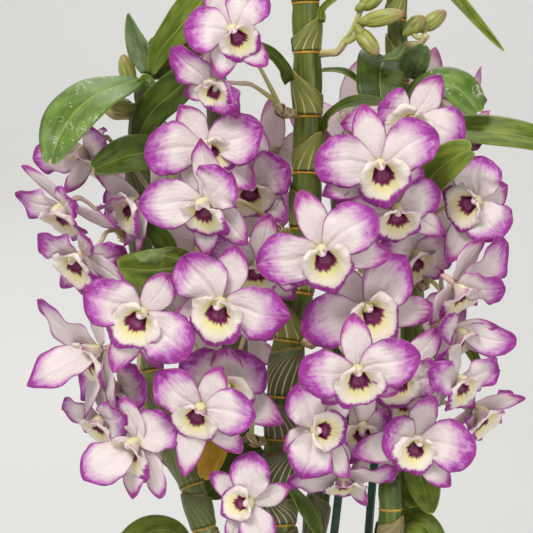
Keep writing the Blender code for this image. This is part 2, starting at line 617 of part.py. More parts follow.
def bodies_of(bm):
    """Vertices of each separate body, largest first."""
    seen, out = set(), []
    for v in bm.verts:
        if v in seen:
            continue
        todo, body = [v], [v]
        seen.add(v)
        while todo:
            for e in todo.pop().link_edges:
                for w in e.verts:
                    if w not in seen:
                        seen.add(w)
                        todo.append(w)
                        body.append(w)
        out.append(body)
    return sorted(out, key=len, reverse=True)


def faults(mesh):
    """Edges that aren't shared by two faces, and bodies beyond the first."""
    bm = bmesh.new()
    bm.from_mesh(mesh)
    bad = sum(len(e.link_faces) != 2 for e in bm.edges)
    extra = len(bodies_of(bm)) - 1
    bm.free()
    return bad, extra


def tidy(mesh, dist):
    """Clean a joined mesh; slivers that the cut left loose where sheets cross are dropped."""
    bm = bmesh.new()
    bm.from_mesh(mesh)
    for body in bodies_of(bm)[1:]:
        if len(body) < 12:
            bmesh.ops.delete(bm, geom=body, context="VERTS")
    if dist:
        bmesh.ops.remove_doubles(bm, verts=bm.verts, dist=dist)
        bmesh.ops.dissolve_degenerate(bm, edges=bm.edges, dist=dist)
    bmesh.ops.triangulate(bm, faces=bm.faces)
    bmesh.ops.recalc_face_normals(bm, faces=bm.faces)
    bm.to_mesh(mesh)
    bm.free()


def join_all(name, meshes, mat):
    """Boolean union of overlapping solids into one."""
    pile = new_collection(name + "_pieces")
    for i, m in enumerate(meshes[1:]):
        ob = add_object("%s_piece_%d" % (name, i), m, pile)
        ob.hide_render = True
    base = add_object(name, meshes[0], HELP)
    mod = base.modifiers.new("union", "BOOLEAN")
    mod.operation = "UNION"
    mod.operand_type = "COLLECTION"
    mod.collection = pile
    chosen = None
    middles = [sum((v.co for v in ob.data.vertices), Vector()) / len(ob.data.vertices) for ob in pile.objects]
    for swell in range(10):
        for ob, mid in zip(pile.objects, middles):
            k = 1.0 + 0.0023 * swell
            ob.scale = (k, k, k)
            ob.location = mid * (1 - k)
        bpy.context.view_layer.update()
        mod.solver = "MANIFOLD" if swell % 2 else "EXACT"
        for dist in (0.00003, 0.000004):
            mesh = evaluated_mesh(base)
            tidy(mesh, dist)
            bad = faults(mesh)
            if chosen is None or bad < chosen[0]:
                chosen = (bad, mesh, mod.solver, dist, swell)
            if bad == (0, 0):
                break
        if chosen[0] == (0, 0):
            break
    if chosen[0] != (0, 0) or chosen[4]:
        print("union", name, *chosen[:1], *chosen[2:])
    bpy.data.objects.remove(base, do_unlink=True)
    for ob in list(pile.objects):
        bpy.data.objects.remove(ob, do_unlink=True)
    bpy.data.collections.remove(pile)
    mesh = chosen[1]
    mesh.name = name
    return add_object(name, mesh, PARTS, mat)


def hits(tree, others):
    return [n for n, o in others if tree.overlap(o)]


def coarse_flower(f):
    sheet = flower_sheet(f)
    thicken(sheet, SHEET)
    return [from_bmesh("flower", sheet)]


placed = list(fixed)
flowers = {}
order = sorted(((f["c"][2], name, i) for name, (root, fs) in SPRAYS.items() for i, f in enumerate(fs)))
for depth, name, i in order:
    f = SPRAYS[name][1][i]
    body = coarse_flower(f)
    here = at(*f["c"])
    others = [(k, t) for k, t in placed if k != name]
    best = None
    for step in [0] + [s * k for k in range(1, 16) for s in (2, -2)]:
        shift = at(f["c"][0], f["c"][1], f["c"][2] + step)
        n_hit = 0
        for m in body:
            n_hit += len(hits(tree_of(moved(m, shift)), others))
        if best is None or n_hit < best[0]:
            best = (n_hit, step)
        if n_hit == 0:
            break
    f["shift"] = best[1]
    spot = at(f["c"][0], f["c"][1], f["c"][2] + best[1])
    f["spot"] = spot
    solids = [moved(m, spot) for m in body]
    flowers[(name, i)] = solids
    for m in solids:
        placed.append((name, tree_of(m)))
    if best[1] or best[0]:
        print("placing", name, i, "step", best[1], "left", best[0], sorted(set(
            k for m in solids for k in hits(tree_of(m), others))) if best[0] else "")


def stem_path(start, f_spot, n, bend):
    """A pedicel: leaves the peduncle, arches and enters the flower from behind."""
    back = f_spot - n * 0.0095
    mid = start.lerp(back, 0.55) + bend
    return [start, mid, back, f_spot + n * 0.0016]


def try_stem(name, a, spot, n, radius):
    others = [(k, t) for k, t in placed if k != name]
    best = None
    side = n.cross(Vector((0, 0, 1)))
    side = side.normalized() if side.length > 0.1 else Vector((1, 0, 0))
    up = Vector((0, 0, 1))
    ways = [Vector((0, 0, 0.004))]
    for reach in (0.008, 0.014, 0.020, 0.027, 0.035):
        for lean in (-0.3, -1.1, 0.5):
            for k in range(8):
                ang = math.radians(90 + 45 * k)
                ways.append(side * math.cos(ang) * reach + up * math.sin(ang) * reach + n * (lean * reach))
    for way in ways:
        pts = stem_path(a, spot, n, way)
        mesh = tube_mesh("stem", pts, radius, 0, HELP)
        found = len(set(hits(tree_of(mesh), others)))
        if best is None or found < best[0]:
            best = (found, mesh, way)
        if found == 0:
            break
    return best


def surface_start(root, aim):
    """Point just outside the cane at a node, on the side the stalk leaves."""
    axis = at(*root)
    d = Vector((aim.x - axis.x, aim.y - axis.y, 0.0)).normalized()
    return axis + d * (CANE_R + 0.0022), d


for name, (root, fs) in SPRAYS.items():
    aim = sum((f["spot"] for f in fs), Vector()) / len(fs)
    start, d = surface_start(root, aim)
    knee = start + d * 0.010 + Vector((0, 0, 0.004))
    pieces = [tube_mesh("peduncle", [start, start + d * 0.005, knee], PEDUNCLE_R, 1, HELP)]
    tree = tree_of(pieces[0])
    clash = hits(tree, [(k, t) for k, t in placed if k != name])
    if clash:
        print("peduncle", name, "hits", sorted(set(clash)))
    for i, f in enumerate(fs):
        r, u, n = frame_of(f)
        found, mesh, way = try_stem(name, knee - d * 0.002, f["spot"], n, PEDICEL_R)
        if found:
            print("stem", name, i, "hits", found)
        placed.append((name, tree_of(mesh)))
        path = [p - f["spot"] for p in reversed(stem_path(knee - d * 0.002, f["spot"], n, way))]
        sheet = flower_sheet(f)
        thicken(sheet, SHEET)
        grow_stem(sheet, n, path)
        for v in sheet.verts:
            v.co += f["spot"]
        pieces.append(from_bmesh("flower", sheet))
    placed.append((name, tree_of(pieces[0])))
    join_all(name, pieces, PETAL)

for name, (root, buds) in BUDS.items():
    aim = sum((at(*b[0]) for b in buds), Vector()) / len(buds)
    start, d = surface_start(root, aim)
    knee = start + d * 0.010 + Vector((0, 0, 0.004))
    pieces = [tube_mesh("peduncle", [start, start + d * 0.005, knee], PEDUNCLE_R, 1, HELP)]
    for a, b in buds:
        a, b = at(*a), at(*b)
        pieces.append(tube_mesh("stem", [knee - d * 0.002, knee.lerp(a, 0.5) + Vector((0, 0, -0.002)),
                                         a + (b - a) * 0.15], PEDICEL_R, 0, HELP))
        pieces.append(bud_mesh(a, b))
    for m in pieces:
        clash = hits(tree_of(m), [(k, t) for k, t in placed if k != name])
        if clash:
            print("bud piece", name, "hits", sorted(set(clash)))
    for m in pieces:
        placed.append((name, tree_of(m)))
    join_all(name, pieces, BUD)

for ob in PARTS.objects:
    ob.data.shade_smooth()
    ob.data.set_sharp_from_angle(angle=math.radians(40))
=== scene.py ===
# Flowering cane orchid in a plain pot: the visible model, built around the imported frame.
# Metres, +Z up. The plant's front faces -Y.
import math
import random

import bmesh
import bpy
import numpy as np
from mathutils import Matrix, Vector, kdtree, noise


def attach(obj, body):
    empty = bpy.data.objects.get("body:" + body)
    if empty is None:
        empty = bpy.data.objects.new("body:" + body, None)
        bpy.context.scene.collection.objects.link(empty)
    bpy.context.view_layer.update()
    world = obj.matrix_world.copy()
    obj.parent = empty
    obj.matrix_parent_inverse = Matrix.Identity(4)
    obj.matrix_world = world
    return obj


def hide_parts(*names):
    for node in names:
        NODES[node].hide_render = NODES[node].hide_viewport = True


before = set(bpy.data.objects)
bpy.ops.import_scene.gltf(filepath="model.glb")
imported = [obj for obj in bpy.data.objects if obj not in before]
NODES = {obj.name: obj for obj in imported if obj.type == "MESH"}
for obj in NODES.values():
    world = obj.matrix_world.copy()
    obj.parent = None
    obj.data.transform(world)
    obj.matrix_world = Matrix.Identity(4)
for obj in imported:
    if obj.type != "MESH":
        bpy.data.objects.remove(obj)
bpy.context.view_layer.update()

# ---------------------------------------------------------------- driving dimensions
POT_HEIGHT = 0.125
POT_TOP_R = 0.072
POT_FOOT_R = 0.052
POT_WALL = 0.0032
POT_FLOOR = 0.004
RIM_HEIGHT = 0.022
RIM_STEP = 0.004
DRAIN_R = 0.005
DRAIN_RING = 0.027
MEDIUM_TOP = 0.112
MEDIUM_LOW = 0.030
GAP = 0.0003
CANE_R = 0.0068
STAKE_R = 0.0022
SHEET = 0.0010            # thickness of petals and leaves
PEDICEL_R = 0.0011
PEDUNCLE_R = 0.0019

# layout grid: the front view is drawn on a square grid, one unit is GRID metres on the
# plane y = 0; nearer rows are spread about EYE as a viewer there sees them in line.
GRID = 0.000515
EYE = Vector((-0.0095, -1.1, 0.3575))
MID = 266.5


def at(u, v, d=0.0):
    """Point at grid column u, grid row v (down) and depth d in millimetres behind y = 0."""
    y = d * 0.001
    k = GRID * (y - EYE.y) / -EYE.y
    return Vector((EYE.x + (u - MID) * k, y, EYE.z - (v - MID) * k))


# ---------------------------------------------------------------- layout of the canes
# name: (points (u, v, depth), radius share)
CANES = {
    "cane_main": ([(283, 760, 6), (280, 640, 4), (280, 533, 0), (281, 420, 0), (290, 330, 0), (299, 290, 0),
                   (307, 180, 0), (307, 60, -2), (304, -40, -4), (300, -110, -4)], 1.16),
    "cane_left": ([(252, 760, 2), (232, 640, -2), (205, 533, -6), (190, 480, -4), (170, 440, 6), (152, 370, 14),
                   (140, 240, 16), (138, 150, 14), (147, 88, 4)], 0.9),
    "cane_right": ([(312, 760, 2), (370, 640, 8), (398, 533, 16), (410, 430, 16), (412, 325, 14), (406, 215, 14),
                    (399, 90, 12), (396, 0, 10), (394, -50, 8)], 0.85),
    "cane_cut_stub": ([(326, 760, -10), (372, 620, -12), (389, 533, -14), (390, 480, -16)], 1.0),
    "cane_old_left": ([(268, 760, 24), (252, 640, 34), (244, 520, 40), (240, 430, 42), (232, 300, 44), (222, 160, 46),
                       (214, 60, 48)], 0.85),
    "cane_old_right": ([(298, 760, 26), (310, 640, 34), (314, 533, 38), (332, 420, 46), (338, 300, 50),
                        (342, 220, 52), (345, 164, 51)], 0.85),
}
STAKES = {
    "stake_left": [(308, 760, 10), (338, 500, 20), (348, 380, 26)],
    "stake_right": [(352, 758, 24), (371, 500, 30), (380, 400, 32)],
}

# ---------------------------------------------------------------- layout of the leaves
# name: (points base to tip, half width in grid units, facing direction)
LEAVES = {
    "leaf_upright": ([(147, 72, 2), (141, 54, 4), (133, 34, 6), (128, 13, 6)], 12, (-0.3, -1, 0.1)),
    "leaf_upper_left": ([(150, 75, -4), (161, 50, -10), (182, 25, -16), (208, -6, -20), (238, -44, -18)], 21,
                        (-0.35, -1, 0.35)),
    "leaf_arching": ([(140, 79, -4), (121, 85, -14), (95, 95, -26), (73, 115, -36), (59, 139, -42), (50, 164, -44)],
                     25, (-0.3, -0.85, 0.55)),
    "leaf_dark_left": ([(136, 140, -4), (152, 112, -12), (174, 92, -20), (204, 66, -24)], 19, (-0.3, -1, 0.3)),
    "leaf_front_left": ([(190, 150, -8), (160, 151, -20), (128, 156, -30), (93, 170, -36)], 23, (0.0, -0.9, 0.6)),
    "leaf_folded_left": ([(214, 262, -14), (184, 266, -26), (150, 270, -34), (117, 268, -38)], 20, (0, -1, 0.5)),
    "leaf_inner_left": ([(178, 262, 0), (166, 246, -4), (154, 232, -6), (138, 224, -6)], 11, (0, -1, 0.4)),
    "leaf_face_on": ([(385, 52, 2), (381, 66, -12), (380, 84, -18), (381, 99, -20)], 24, (0, -1, 0.1)),
    "leaf_round_right": ([(409, 78, 6), (413, 66, -2), (420, 54, -6), (424, 44, -8)], 15, (0.1, -1, 0.3)),
    "leaf_spotted": ([(407, 90, -1), (432, 83, -14), (458, 89, -21), (479, 113, -23)], 23, (0.2, -0.85, 0.5)),
    "leaf_long_right": ([(413, 134, 6), (446, 130, -6), (488, 132, -14), (530, 138, -18), (562, 150, -16)], 19,
                        (0, -0.8, 0.6)),
    "leaf_front_right": ([(414, 216, 4), (418, 196, -20), (434, 174, -40), (455, 157, -50), (473, 148, -54)], 17,
                         (-0.3, -1, 0.2)),
    "leaf_top_right": ([(410, -26, 2), (430, -32, -3), (456, -4, -8), (481, 25, -12), (504, 51, -12)], 7,
                       (-0.6, -0.7, 0.5)),
    "leaf_main_upper": ([(321, 22, -8), (324, 8, -10), (346, -8, -16), (376, -18, -22), (404, -12, -26)], 9,
                        (-0.3, -0.7, 0.8)),
    "leaf_main_left": ([(289, 82, -8), (282, 66, -12), (267, 52, -18), (240, 50, -26), (214, 66, -30)], 11,
                       (0, -0.8, 0.7)),
    "leaf_main_right": ([(322, 132, -5), (330, 114, -13), (354, 102, -22), (396, 104, -28)], 7, (0, -0.8, 0.7)),
    "leaf_right_low": ([(420, 316, 10), (446, 322, -2), (466, 344, -8), (486, 381, -12)], 9, (0.4, -1, 0.4)),
    "leaf_yellow": ([(218, 422, -6), (215, 444, -12), (210, 462, -14), (203, 479, -14)], 14, (0, -1, 0.3)),
    "leaf_dark_low": ([(262, 448, 20), (246, 458, 16), (226, 474, 14), (206, 496, 14)], 22, (0, -1, 0.3)),
    "leaf_low_left": ([(190, 544, -12), (170, 531, -18), (146, 534, -22), (112, 556, -24)], 17, (0, -0.8, 0.6)),
    "leaf_low_middle": ([(290, 486, -8), (300, 500, -12), (310, 516, -14), (320, 536, -14)], 8, (0.3, -1, 0.2)),
    "leaf_low_right": ([(416, 464, 2), (421, 478, -8), (426, 494, -12), (431, 514, -14)], 15, (0, -1, 0.4)),
    "leaf_lowest_right": ([(404, 524, 6), (414, 522, -8), (428, 530, -14), (444, 556, -16)], 15, (0, -1, 0.5)),
}

# ---------------------------------------------------------------- layout of the flowers
# Each inflorescence: root on its cane (u, v, depth), then its flowers.
# A flower: middle (u, v, depth), yaw, pitch, roll in degrees, size, and the tips of its
# tepals as (u, v, forward mm); D dorsal sepal, PL PR petals, SL SR lateral sepals.
# A tepal without a tip takes its place from the flower's own frame.
SPRAYS = {
    "spray_top_left": ((298, 114, -2), [
        dict(c=(233, 31, -62), y=2, p=0, r=32, s=0.96, slim=0.92, D=(206, -12, -2), PL=(184, 28, 4), PR=(263, -12, 4),
             SL=(219, 79, -3), SR=(267, 66, -5)),
        dict(c=(215, 84, -46), y=-38, p=-8, r=18, s=0.92, slim=0.78, D=(204, 42, 0), PL=(170, 50, 2), PR=(239, 109, 6),
             SL=(182, 94, -10), SR=(236, 120, -4)),
    ]),
    "spray_upper_left": ((299, 172, 0), [
        dict(c=(206, 147, -38), y=5, p=0, r=32, s=1.05, D=(179, 105, 0), PL=(144, 155, 2), PR=(264, 127, 4),
             SL=(190, 205, -6), SR=(254, 188, -4)),
        dict(c=(250, 184, -14), y=8, p=-15, r=-5, s=0.95, PR=(290, 166, 3), SR=(286, 220, -2)),
        dict(c=(276, 152, 14), y=160, p=0, r=0, s=0.9),
    ]),
    "spray_mid_left": ((292, 232, 0), [
        dict(c=(207, 203, -64), y=-34, p=-12, r=2, s=1.0, D=(202, 138, 0), PL=(138, 205, 0), PR=(232, 172, 14),
             SL=(204, 258, -10), SR=(247, 245, 0)),
        dict(c=(257, 264, -22), y=5, p=-25, r=-12, s=0.9, D=(270, 214, 0)),
    ]),
    "spray_middle_left": ((286, 290, 0), [
        dict(c=(222, 303, -68), y=-16, p=-8, r=-11, s=1.05, D=(236, 245, 0), PL=(182, 257, 3), PR=(290, 318, 4),
             SL=(172, 325, -10), SR=(273, 340, -5)),
        dict(c=(226, 389, -34), y=0, p=10, r=5, s=1.0, D=(224, 349, 8), PL=(180, 362, 2), PR=(263, 362, 2)),
    ]),
    "spray_low_left": ((268, 440, 0), [
        dict(c=(201, 408, -60), y=-10, p=-5, r=-22, s=0.9, D=(221, 366, 2), PL=(156, 373, 3), PR=(256, 417, 4),
             SL=(184, 477, -8), SR=(241, 454, -5)),
    ]),
    "spray_bottom": ((270, 486, 0), [
        dict(c=(248, 502, -46), y=-4, p=0, r=-84, s=0.92, slim=0.82, D=(291, 487, -2), PL=(252, 452, 4), PR=(262, 553, 4),
             SL=(209, 474, -4), SR=(229, 545, -4)),
    ]),
    "spray_upper_right": ((315, 174, 0), [
        dict(c=(380, 165, -62), y=0, p=-6, r=15, s=1.0, D=(362, 104, 2), PL=(314, 163, 3), PR=(437, 132, 4),
             SL=(322, 196, -5), SR=(425, 175, -8)),
        dict(c=(396, 208, -26), y=6, p=-22, r=5, s=0.9, PR=(440, 192, -2), SL=(372, 240, -3)),
    ]),
    "spray_mid_right": ((308, 232, 0), [
        dict(c=(322, 250, -70), y=-2, p=-8, r=19, s=1.02, D=(301, 190, 2), PL=(256, 264, 4), PR=(376, 213, 4),
             SL=(290, 285, -8), SR=(391, 256, -4)),
        dict(c=(366, 309, -42), y=8, p=4, r=34, s=1.02, D=(334, 262, -2), PL=(302, 334, 3), PR=(406, 256, 4),
             SL=(352, 362, -8), SR=(438, 312, -4)),
    ]),
    "spray_middle_right": ((297, 342, 0), [
        dict(c=(357, 370, -74), y=3, p=-6, r=7, s=0.95, D=(354, 313, 2), PL=(299, 377, 4), PR=(420, 354, 6),
             SL=(322, 404, -6), SR=(398, 394, -6)),
        dict(c=(402, 374, -32), y=-2, p=-10, r=-24, s=0.9, D=(440, 329, 0), PR=(443, 378, 3)),
        dict(c=(364, 426, -28), y=-12, p=-18, r=0, s=0.85, PL=(336, 460, 0), PR=(392, 430, 2)),
    ]),
    "spray_low_right": ((292, 395, 0), [
        dict(c=(316, 430, -46), y=6, p=2, r=88, s=0.92, D=(284, 451, 0), PL=(301, 479, 4), PR=(298, 384, 3),
             SL=(350, 478, -4), SR=(352, 388, -8)),
        dict(c=(343, 474, -14), y=4, p=-50, r=10, s=0.85, slim=0.75, SL=(307, 488, 0), SR=(366, 506, -2)),
    ]),
    "spray_far_left_middle": ((152, 346, 12), [
        dict(c=(142, 313, -64), y=-2, p=-6, r=-32, s=1.0, D=(172, 275, 2), PL=(84, 292, 5), PR=(187, 358, 6),
             SL=(113, 373, -6), SR=(160, 370, -8)),
        dict(c=(120, 386, -24), y=-50, p=-15, r=0, s=0.9, SR=(152, 404, -4)),
    ]),
    "spray_far_left_low": ((170, 432, 8), [
        dict(c=(137, 443, -50), y=-36, p=-4, r=-15, s=0.95, D=(122, 397, 2), PL=(82, 478, 6), PR=(177, 423, -4),
             SL=(130, 499, 0), SR=(160, 499, -4)),
        dict(c=(100, 350, -34), y=-60, p=-8, r=-10, s=0.95, D=(88, 313, -10), PL=(35, 302, 0), PR=(26, 383, 10),
             SL=(80, 422, -4), SR=(110, 417, 6)),
        dict(c=(103, 418, -12), y=-50, p=-25, r=0, s=0.8),
    ]),
    "spray_far_left_upper": ((140, 238, 16), [
        dict(c=(64, 207, -26), y=-58, p=-30, r=10, s=0.95, slim=0.78, D=(20, 167, 0), PL=(16, 193, -10), PR=(74, 200, 14),
             SR=(119, 231, 4)),
        dict(c=(81, 256, -36), y=-42, p=-20, r=0, s=0.95, slim=0.86, D=(87, 240, 16), PL=(38, 234, 8), PR=(128, 256, -4)),
    ]),
    "spray_far_left_top": ((138, 166, 14), [
        dict(c=(136, 203, -20), y=-62, p=0, r=10, s=0.9, D=(95, 172, -2), PR=(97, 210, 10), SR=(138, 252, 0)),
        dict(c=(86, 148, -20), y=-55, p=-35, r=0, s=0.9, D=(103, 125, -6), PL=(32, 160, 0), SR=(66, 194, 4)),
    ]),
    "spray_far_right_top": ((400, 108, 12), [
        dict(c=(411, 121, -38), y=4, p=0, r=-28, s=1.0, D=(441, 75, 2), PL=(378, 107, 3), PR=(464, 142, 2),
             SL=(339, 124, -10), SR=(432, 175, -8)),
        dict(c=(430, 98, 34), y=150, p=5, r=15, s=0.9, slim=0.8, D=(437, 48, 0)),
        dict(c=(466, 120, 14), y=120, p=10, r=-10, s=0.85, slim=0.7, D=(484, 68, 0), PL=(474, 150, 0)),
    ]),
    "spray_far_right_upper": ((408, 230, 14), [
        dict(c=(476, 201, -34), y=-8, p=0, r=-66, s=0.98, D=(508, 186, -4), PL=(482, 156, 5), PR=(502, 238, 4),
             SL=(441, 176, -6), SR=(448, 263, -8)),
        dict(c=(412, 255, -10), y=48, p=-8, r=0, s=0.9, D=(437, 201, 0), PR=(457, 242, 4), SR=(445, 276, -6)),
    ]),
    "spray_far_right_middle": ((414, 285, 13), [
        dict(c=(457, 285, -36), y=48, p=-28, r=10, s=0.95, D=(484, 237, 2), PL=(505, 290, 10), PR=(508, 242, -8),
             SL=(431, 326, 4)),
    ]),
    "spray_far_right_low": ((413, 350, 14), [
        dict(c=(454, 332, -30), y=60, p=-15, r=0, s=0.9, slim=0.7, D=(499, 326, 2), PR=(517, 343, -4), SR=(506, 354, -8),
             SL=(455, 388, 6)),
        dict(c=(457, 380, -36), y=46, p=-6, r=0, s=0.82, slim=0.8),
    ]),
    "spray_far_right_lowest": ((411, 424, 16), [
        dict(c=(415, 441, -48), y=16, p=-2, r=-20, s=0.95, D=(434, 396, 2), PL=(384, 430, 8), PR=(476, 452, 4),
             SL=(353, 453, -4), SR=(452, 487, -4)),
        dict(c=(475, 410, -14), y=58, p=-16, r=0, s=0.95, slim=0.72, D=(526, 400, 0), PL=(468, 440, 8)),
        dict(c=(398, 401, 9), y=28, p=22, r=0, s=0.8),
    ]),
    "spray_back_top": ((343, 196, 52), [
        dict(c=(346, 118, 74), y=168, p=-5, r=-10, s=0.95, slim=0.9, D=(363, 56, 0)),
        dict(c=(388, 150, 84), y=164, p=-8, r=14, s=0.95),
    ]),
    "spray_back_left_high": ((228, 240, 45), [
        dict(c=(236, 205, 86), y=182, p=-4, r=12, s=0.98),
        dict(c=(168, 172, 62), y=208, p=-6, r=-16, s=0.98),
        dict(c=(198, 246, 72), y=200, p=-10, r=24, s=0.95),
    ]),
    "spray_back_left_low": ((238, 390, 43), [
        dict(c=(226, 340, 88), y=188, p=-8, r=-14, s=0.98),
        dict(c=(150, 300, 64), y=214, p=-6, r=10, s=0.98),
        dict(c=(182, 440, 62), y=206, p=-12, r=20, s=0.95),
    ]),
    "spray_back_right_high": ((339, 280, 50), [
        dict(c=(350, 236, 90), y=176, p=-5, r=-12, s=0.98),
        dict(c=(424, 190, 64), y=150, p=-4, r=14, s=0.98),
    ]),
    "spray_back_right_low": ((330, 450, 46), [
        dict(c=(330, 390, 90), y=176, p=-8, r=8, s=0.98),
        dict(c=(412, 330, 66), y=152, p=-6, r=-18, s=0.98),
        dict(c=(402, 452, 58), y=146, p=-12, r=12, s=0.95),
    ]),
}
# unopened buds: root on the cane, then (base, tip) of each bud, all as (u, v, depth)
BUDS = {
    "buds_main": ((318, 54, -2), [((362, 22, -26), (404, 13, -34)), ((360, 8, -20), (384, -8, -22)),
                                  ((358, 30, -26), (378, 55, -32))]),
    "buds_right": ((401, 46, 10), [((408, 32, 0), (424, 16, -4)), ((422, 29, 4), (446, 11, 2))]),
    "buds_left": ((141, 116, 11), [((131, 86, 14), (123, 54, 10)), ((133, 108, 8), (109, 104, 2))]),
}

CANON = {"D": 90.0, "PR": 11.0, "PL": 169.0, "SR": -36.0, "SL": 216.0}
LENGTH = {"D": 0.0335, "PR": 0.0345, "PL": 0.0345, "SR": 0.0335, "SL": 0.0335}
BULK = {"D": 0.0076, "PR": 0.0122, "PL": 0.0122, "SR": 0.0074, "SL": 0.0074}
HUB_R = 0.0042
CORNERS = (-62.0, -12.0, 50.0, 130.0, 192.0, 242.0, 256.0, 270.0, 284.0)   # rim of the disc, tepal by tepal


def frame_of(f):
    """Right, up and facing directions of a flower."""
    yaw, pitch, roll = math.radians(f["y"]), math.radians(f["p"]), math.radians(f["r"])
    n = Vector((math.sin(yaw) * math.cos(pitch), -math.cos(yaw) * math.cos(pitch), math.sin(pitch)))
    r0 = Vector((math.cos(yaw), math.sin(yaw), 0.0))
    u0 = n.cross(r0)
    r = r0 * math.cos(roll) + u0 * math.sin(roll)
    return r, n.cross(r), n


def tips_of(f):
    """Vector from the middle to the tip of each tepal."""
    r, u, n = frame_of(f)
    out = {}
    for key, deg in CANON.items():
        if key in f:
            tu, tv, fwd = f[key]
            out[key] = at(tu, tv, f["c"][2] - fwd) - at(*f["c"])
        else:
            a = math.radians(deg)
            lean = 0.16 if key[0] == "P" else -0.1
            out[key] = (r * math.cos(a) + u * math.sin(a) + n * lean).normalized() * LENGTH[key] * f["s"]
    return out


def smooth_path(points, per=3):
    """Points of a smooth curve through the given ones."""
    pts = [Vector(p) for p in points]
    ext = [pts[0] * 2 - pts[1]] + pts + [pts[-1] * 2 - pts[-2]]
    out = []
    for i in range(1, len(ext) - 2):
        p0, p1, p2, p3 = ext[i - 1:i + 3]
        for k in range(per):
            t = k / per
            out.append(0.5 * ((2 * p1) + (p2 - p0) * t + (2 * p0 - 5 * p1 + 4 * p2 - p3) * t * t
                              + (3 * p1 - p0 - 3 * p2 + p3) * t ** 3))
    out.append(pts[-1])
    return out


def width_of(key, t):
    """Half width share of a tepal along its length."""
    if key[0] == "P":
        return 0.30 + 0.70 * math.sin(math.pi * min(1.0, t / 0.62) / 2) if t < 0.62 else \
            math.sqrt(max(0.0, 1 - ((t - 0.62) / 0.40) ** 2))
    return 0.42 + 0.58 * math.sin(math.pi * min(1.0, t / 0.55) / 2) if t < 0.55 else \
        math.sqrt(max(0.0, 1 - ((t - 0.55) / 0.48) ** 2))


def tepal_point(f, key, tip, base, s, t):
    """Point on a tepal; s runs across it, t from its foot to its tip."""
    r, u, n = frame_of(f)
    axis = tip - base
    side = axis.cross(n)
    if side.length < 0.35 * axis.length:
        side = axis.cross(u)
    side.normalize()
    face = side.cross(axis).normalized()
    w = BULK[key] * f["s"] * f.get("slim", 1.0) * width_of(key, t)
    bow = 0.10 if key[0] == "P" else -0.03
    lift = math.sin(math.pi * t) * bow * axis.length
    curl = -abs(s) ** 2 * w * (0.10 if key[0] == "P" else 0.12)
    if side.dot(r * axis.dot(u) - u * axis.dot(r)) < 0:
        side, face = -side, -face
    if face.dot(n) < 0:
        face = -face
    return base + axis * t - side * (s * w) + face * (lift - curl)


def stem_path(start, f_spot, n, bend):
    """A pedicel: leaves the peduncle, arches and enters the flower from behind."""
    back = f_spot - n * 0.0095
    mid = start.lerp(back, 0.55) + bend
    return [start, mid, back, f_spot + n * 0.0016]


def surface_start(root, aim):
    """Point just outside the cane at a node, on the side the stalk leaves."""
    axis = at(*root)
    d = Vector((aim.x - axis.x, aim.y - axis.y, 0.0)).normalized()
    return axis + d * (CANE_R + 0.0022), d



# ---------------------------------------------------------------- mesh tools
WHITE = Vector((0, 0, 1))


def arr(v):
    return np.array(v, dtype=float)


def unit(a):
    return a / np.maximum(np.linalg.norm(a, axis=-1, keepdims=True), 1e-12)


def bell(x, mid, wide):
    return np.exp(-((x - mid) / wide) ** 2)


def step(x, a, b):
    t = np.clip((x - a) / (b - a), 0.0, 1.0)
    return t * t * (3 - 2 * t)


class Pile:
    """Collects closed pieces, then makes one mesh object of them. Each vertex carries two
    vectors, q and w, that the materials read."""

    def __init__(self):
        self.v, self.f, self.q, self.w, self.m = [], [], [], [], []
        self.n = 0

    def add(self, verts, faces, q=None, w=None, mat=0):
        verts = np.asarray(verts, dtype=float).reshape(-1, 3)
        k = len(verts)
        zero = np.zeros((k, 3))
        self.v.append(verts)
        self.q.append(zero if q is None else np.asarray(q, dtype=float).reshape(-1, 3))
        self.w.append(zero if w is None else np.asarray(w, dtype=float).reshape(-1, 3))
        for face in faces:
            self.f.append([int(i) + self.n for i in face])
            self.m.append(mat)
        self.n += k

    def make(self, name, mats, body="root", replaces=None, smooth=True):
        mesh = bpy.data.meshes.new(name)
        v = np.concatenate(self.v)
        mesh.from_pydata(v.tolist(), [], self.f)
        for label, data in (("q", self.q), ("w", self.w)):
            a = mesh.attributes.new(label, "FLOAT_VECTOR", "POINT")
            a.data.foreach_set("vector", np.concatenate(data).astype(np.float32).ravel())
        for m in mats:
            mesh.materials.append(m)
        mesh.polygons.foreach_set("material_index", self.m)
        mesh.polygons.foreach_set("use_smooth", [smooth] * len(self.f))
        mesh.update()
        ob = bpy.data.objects.new(name, mesh)
        bpy.context.scene.collection.objects.link(ob)
        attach(ob, body)
        if replaces:
            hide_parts(*([replaces] if isinstance(replaces, str) else replaces))
        return ob


def grid_normals(p):
    du = np.gradient(p, axis=1)
    dv = np.gradient(p, axis=0)
    return unit(np.cross(du, dv))


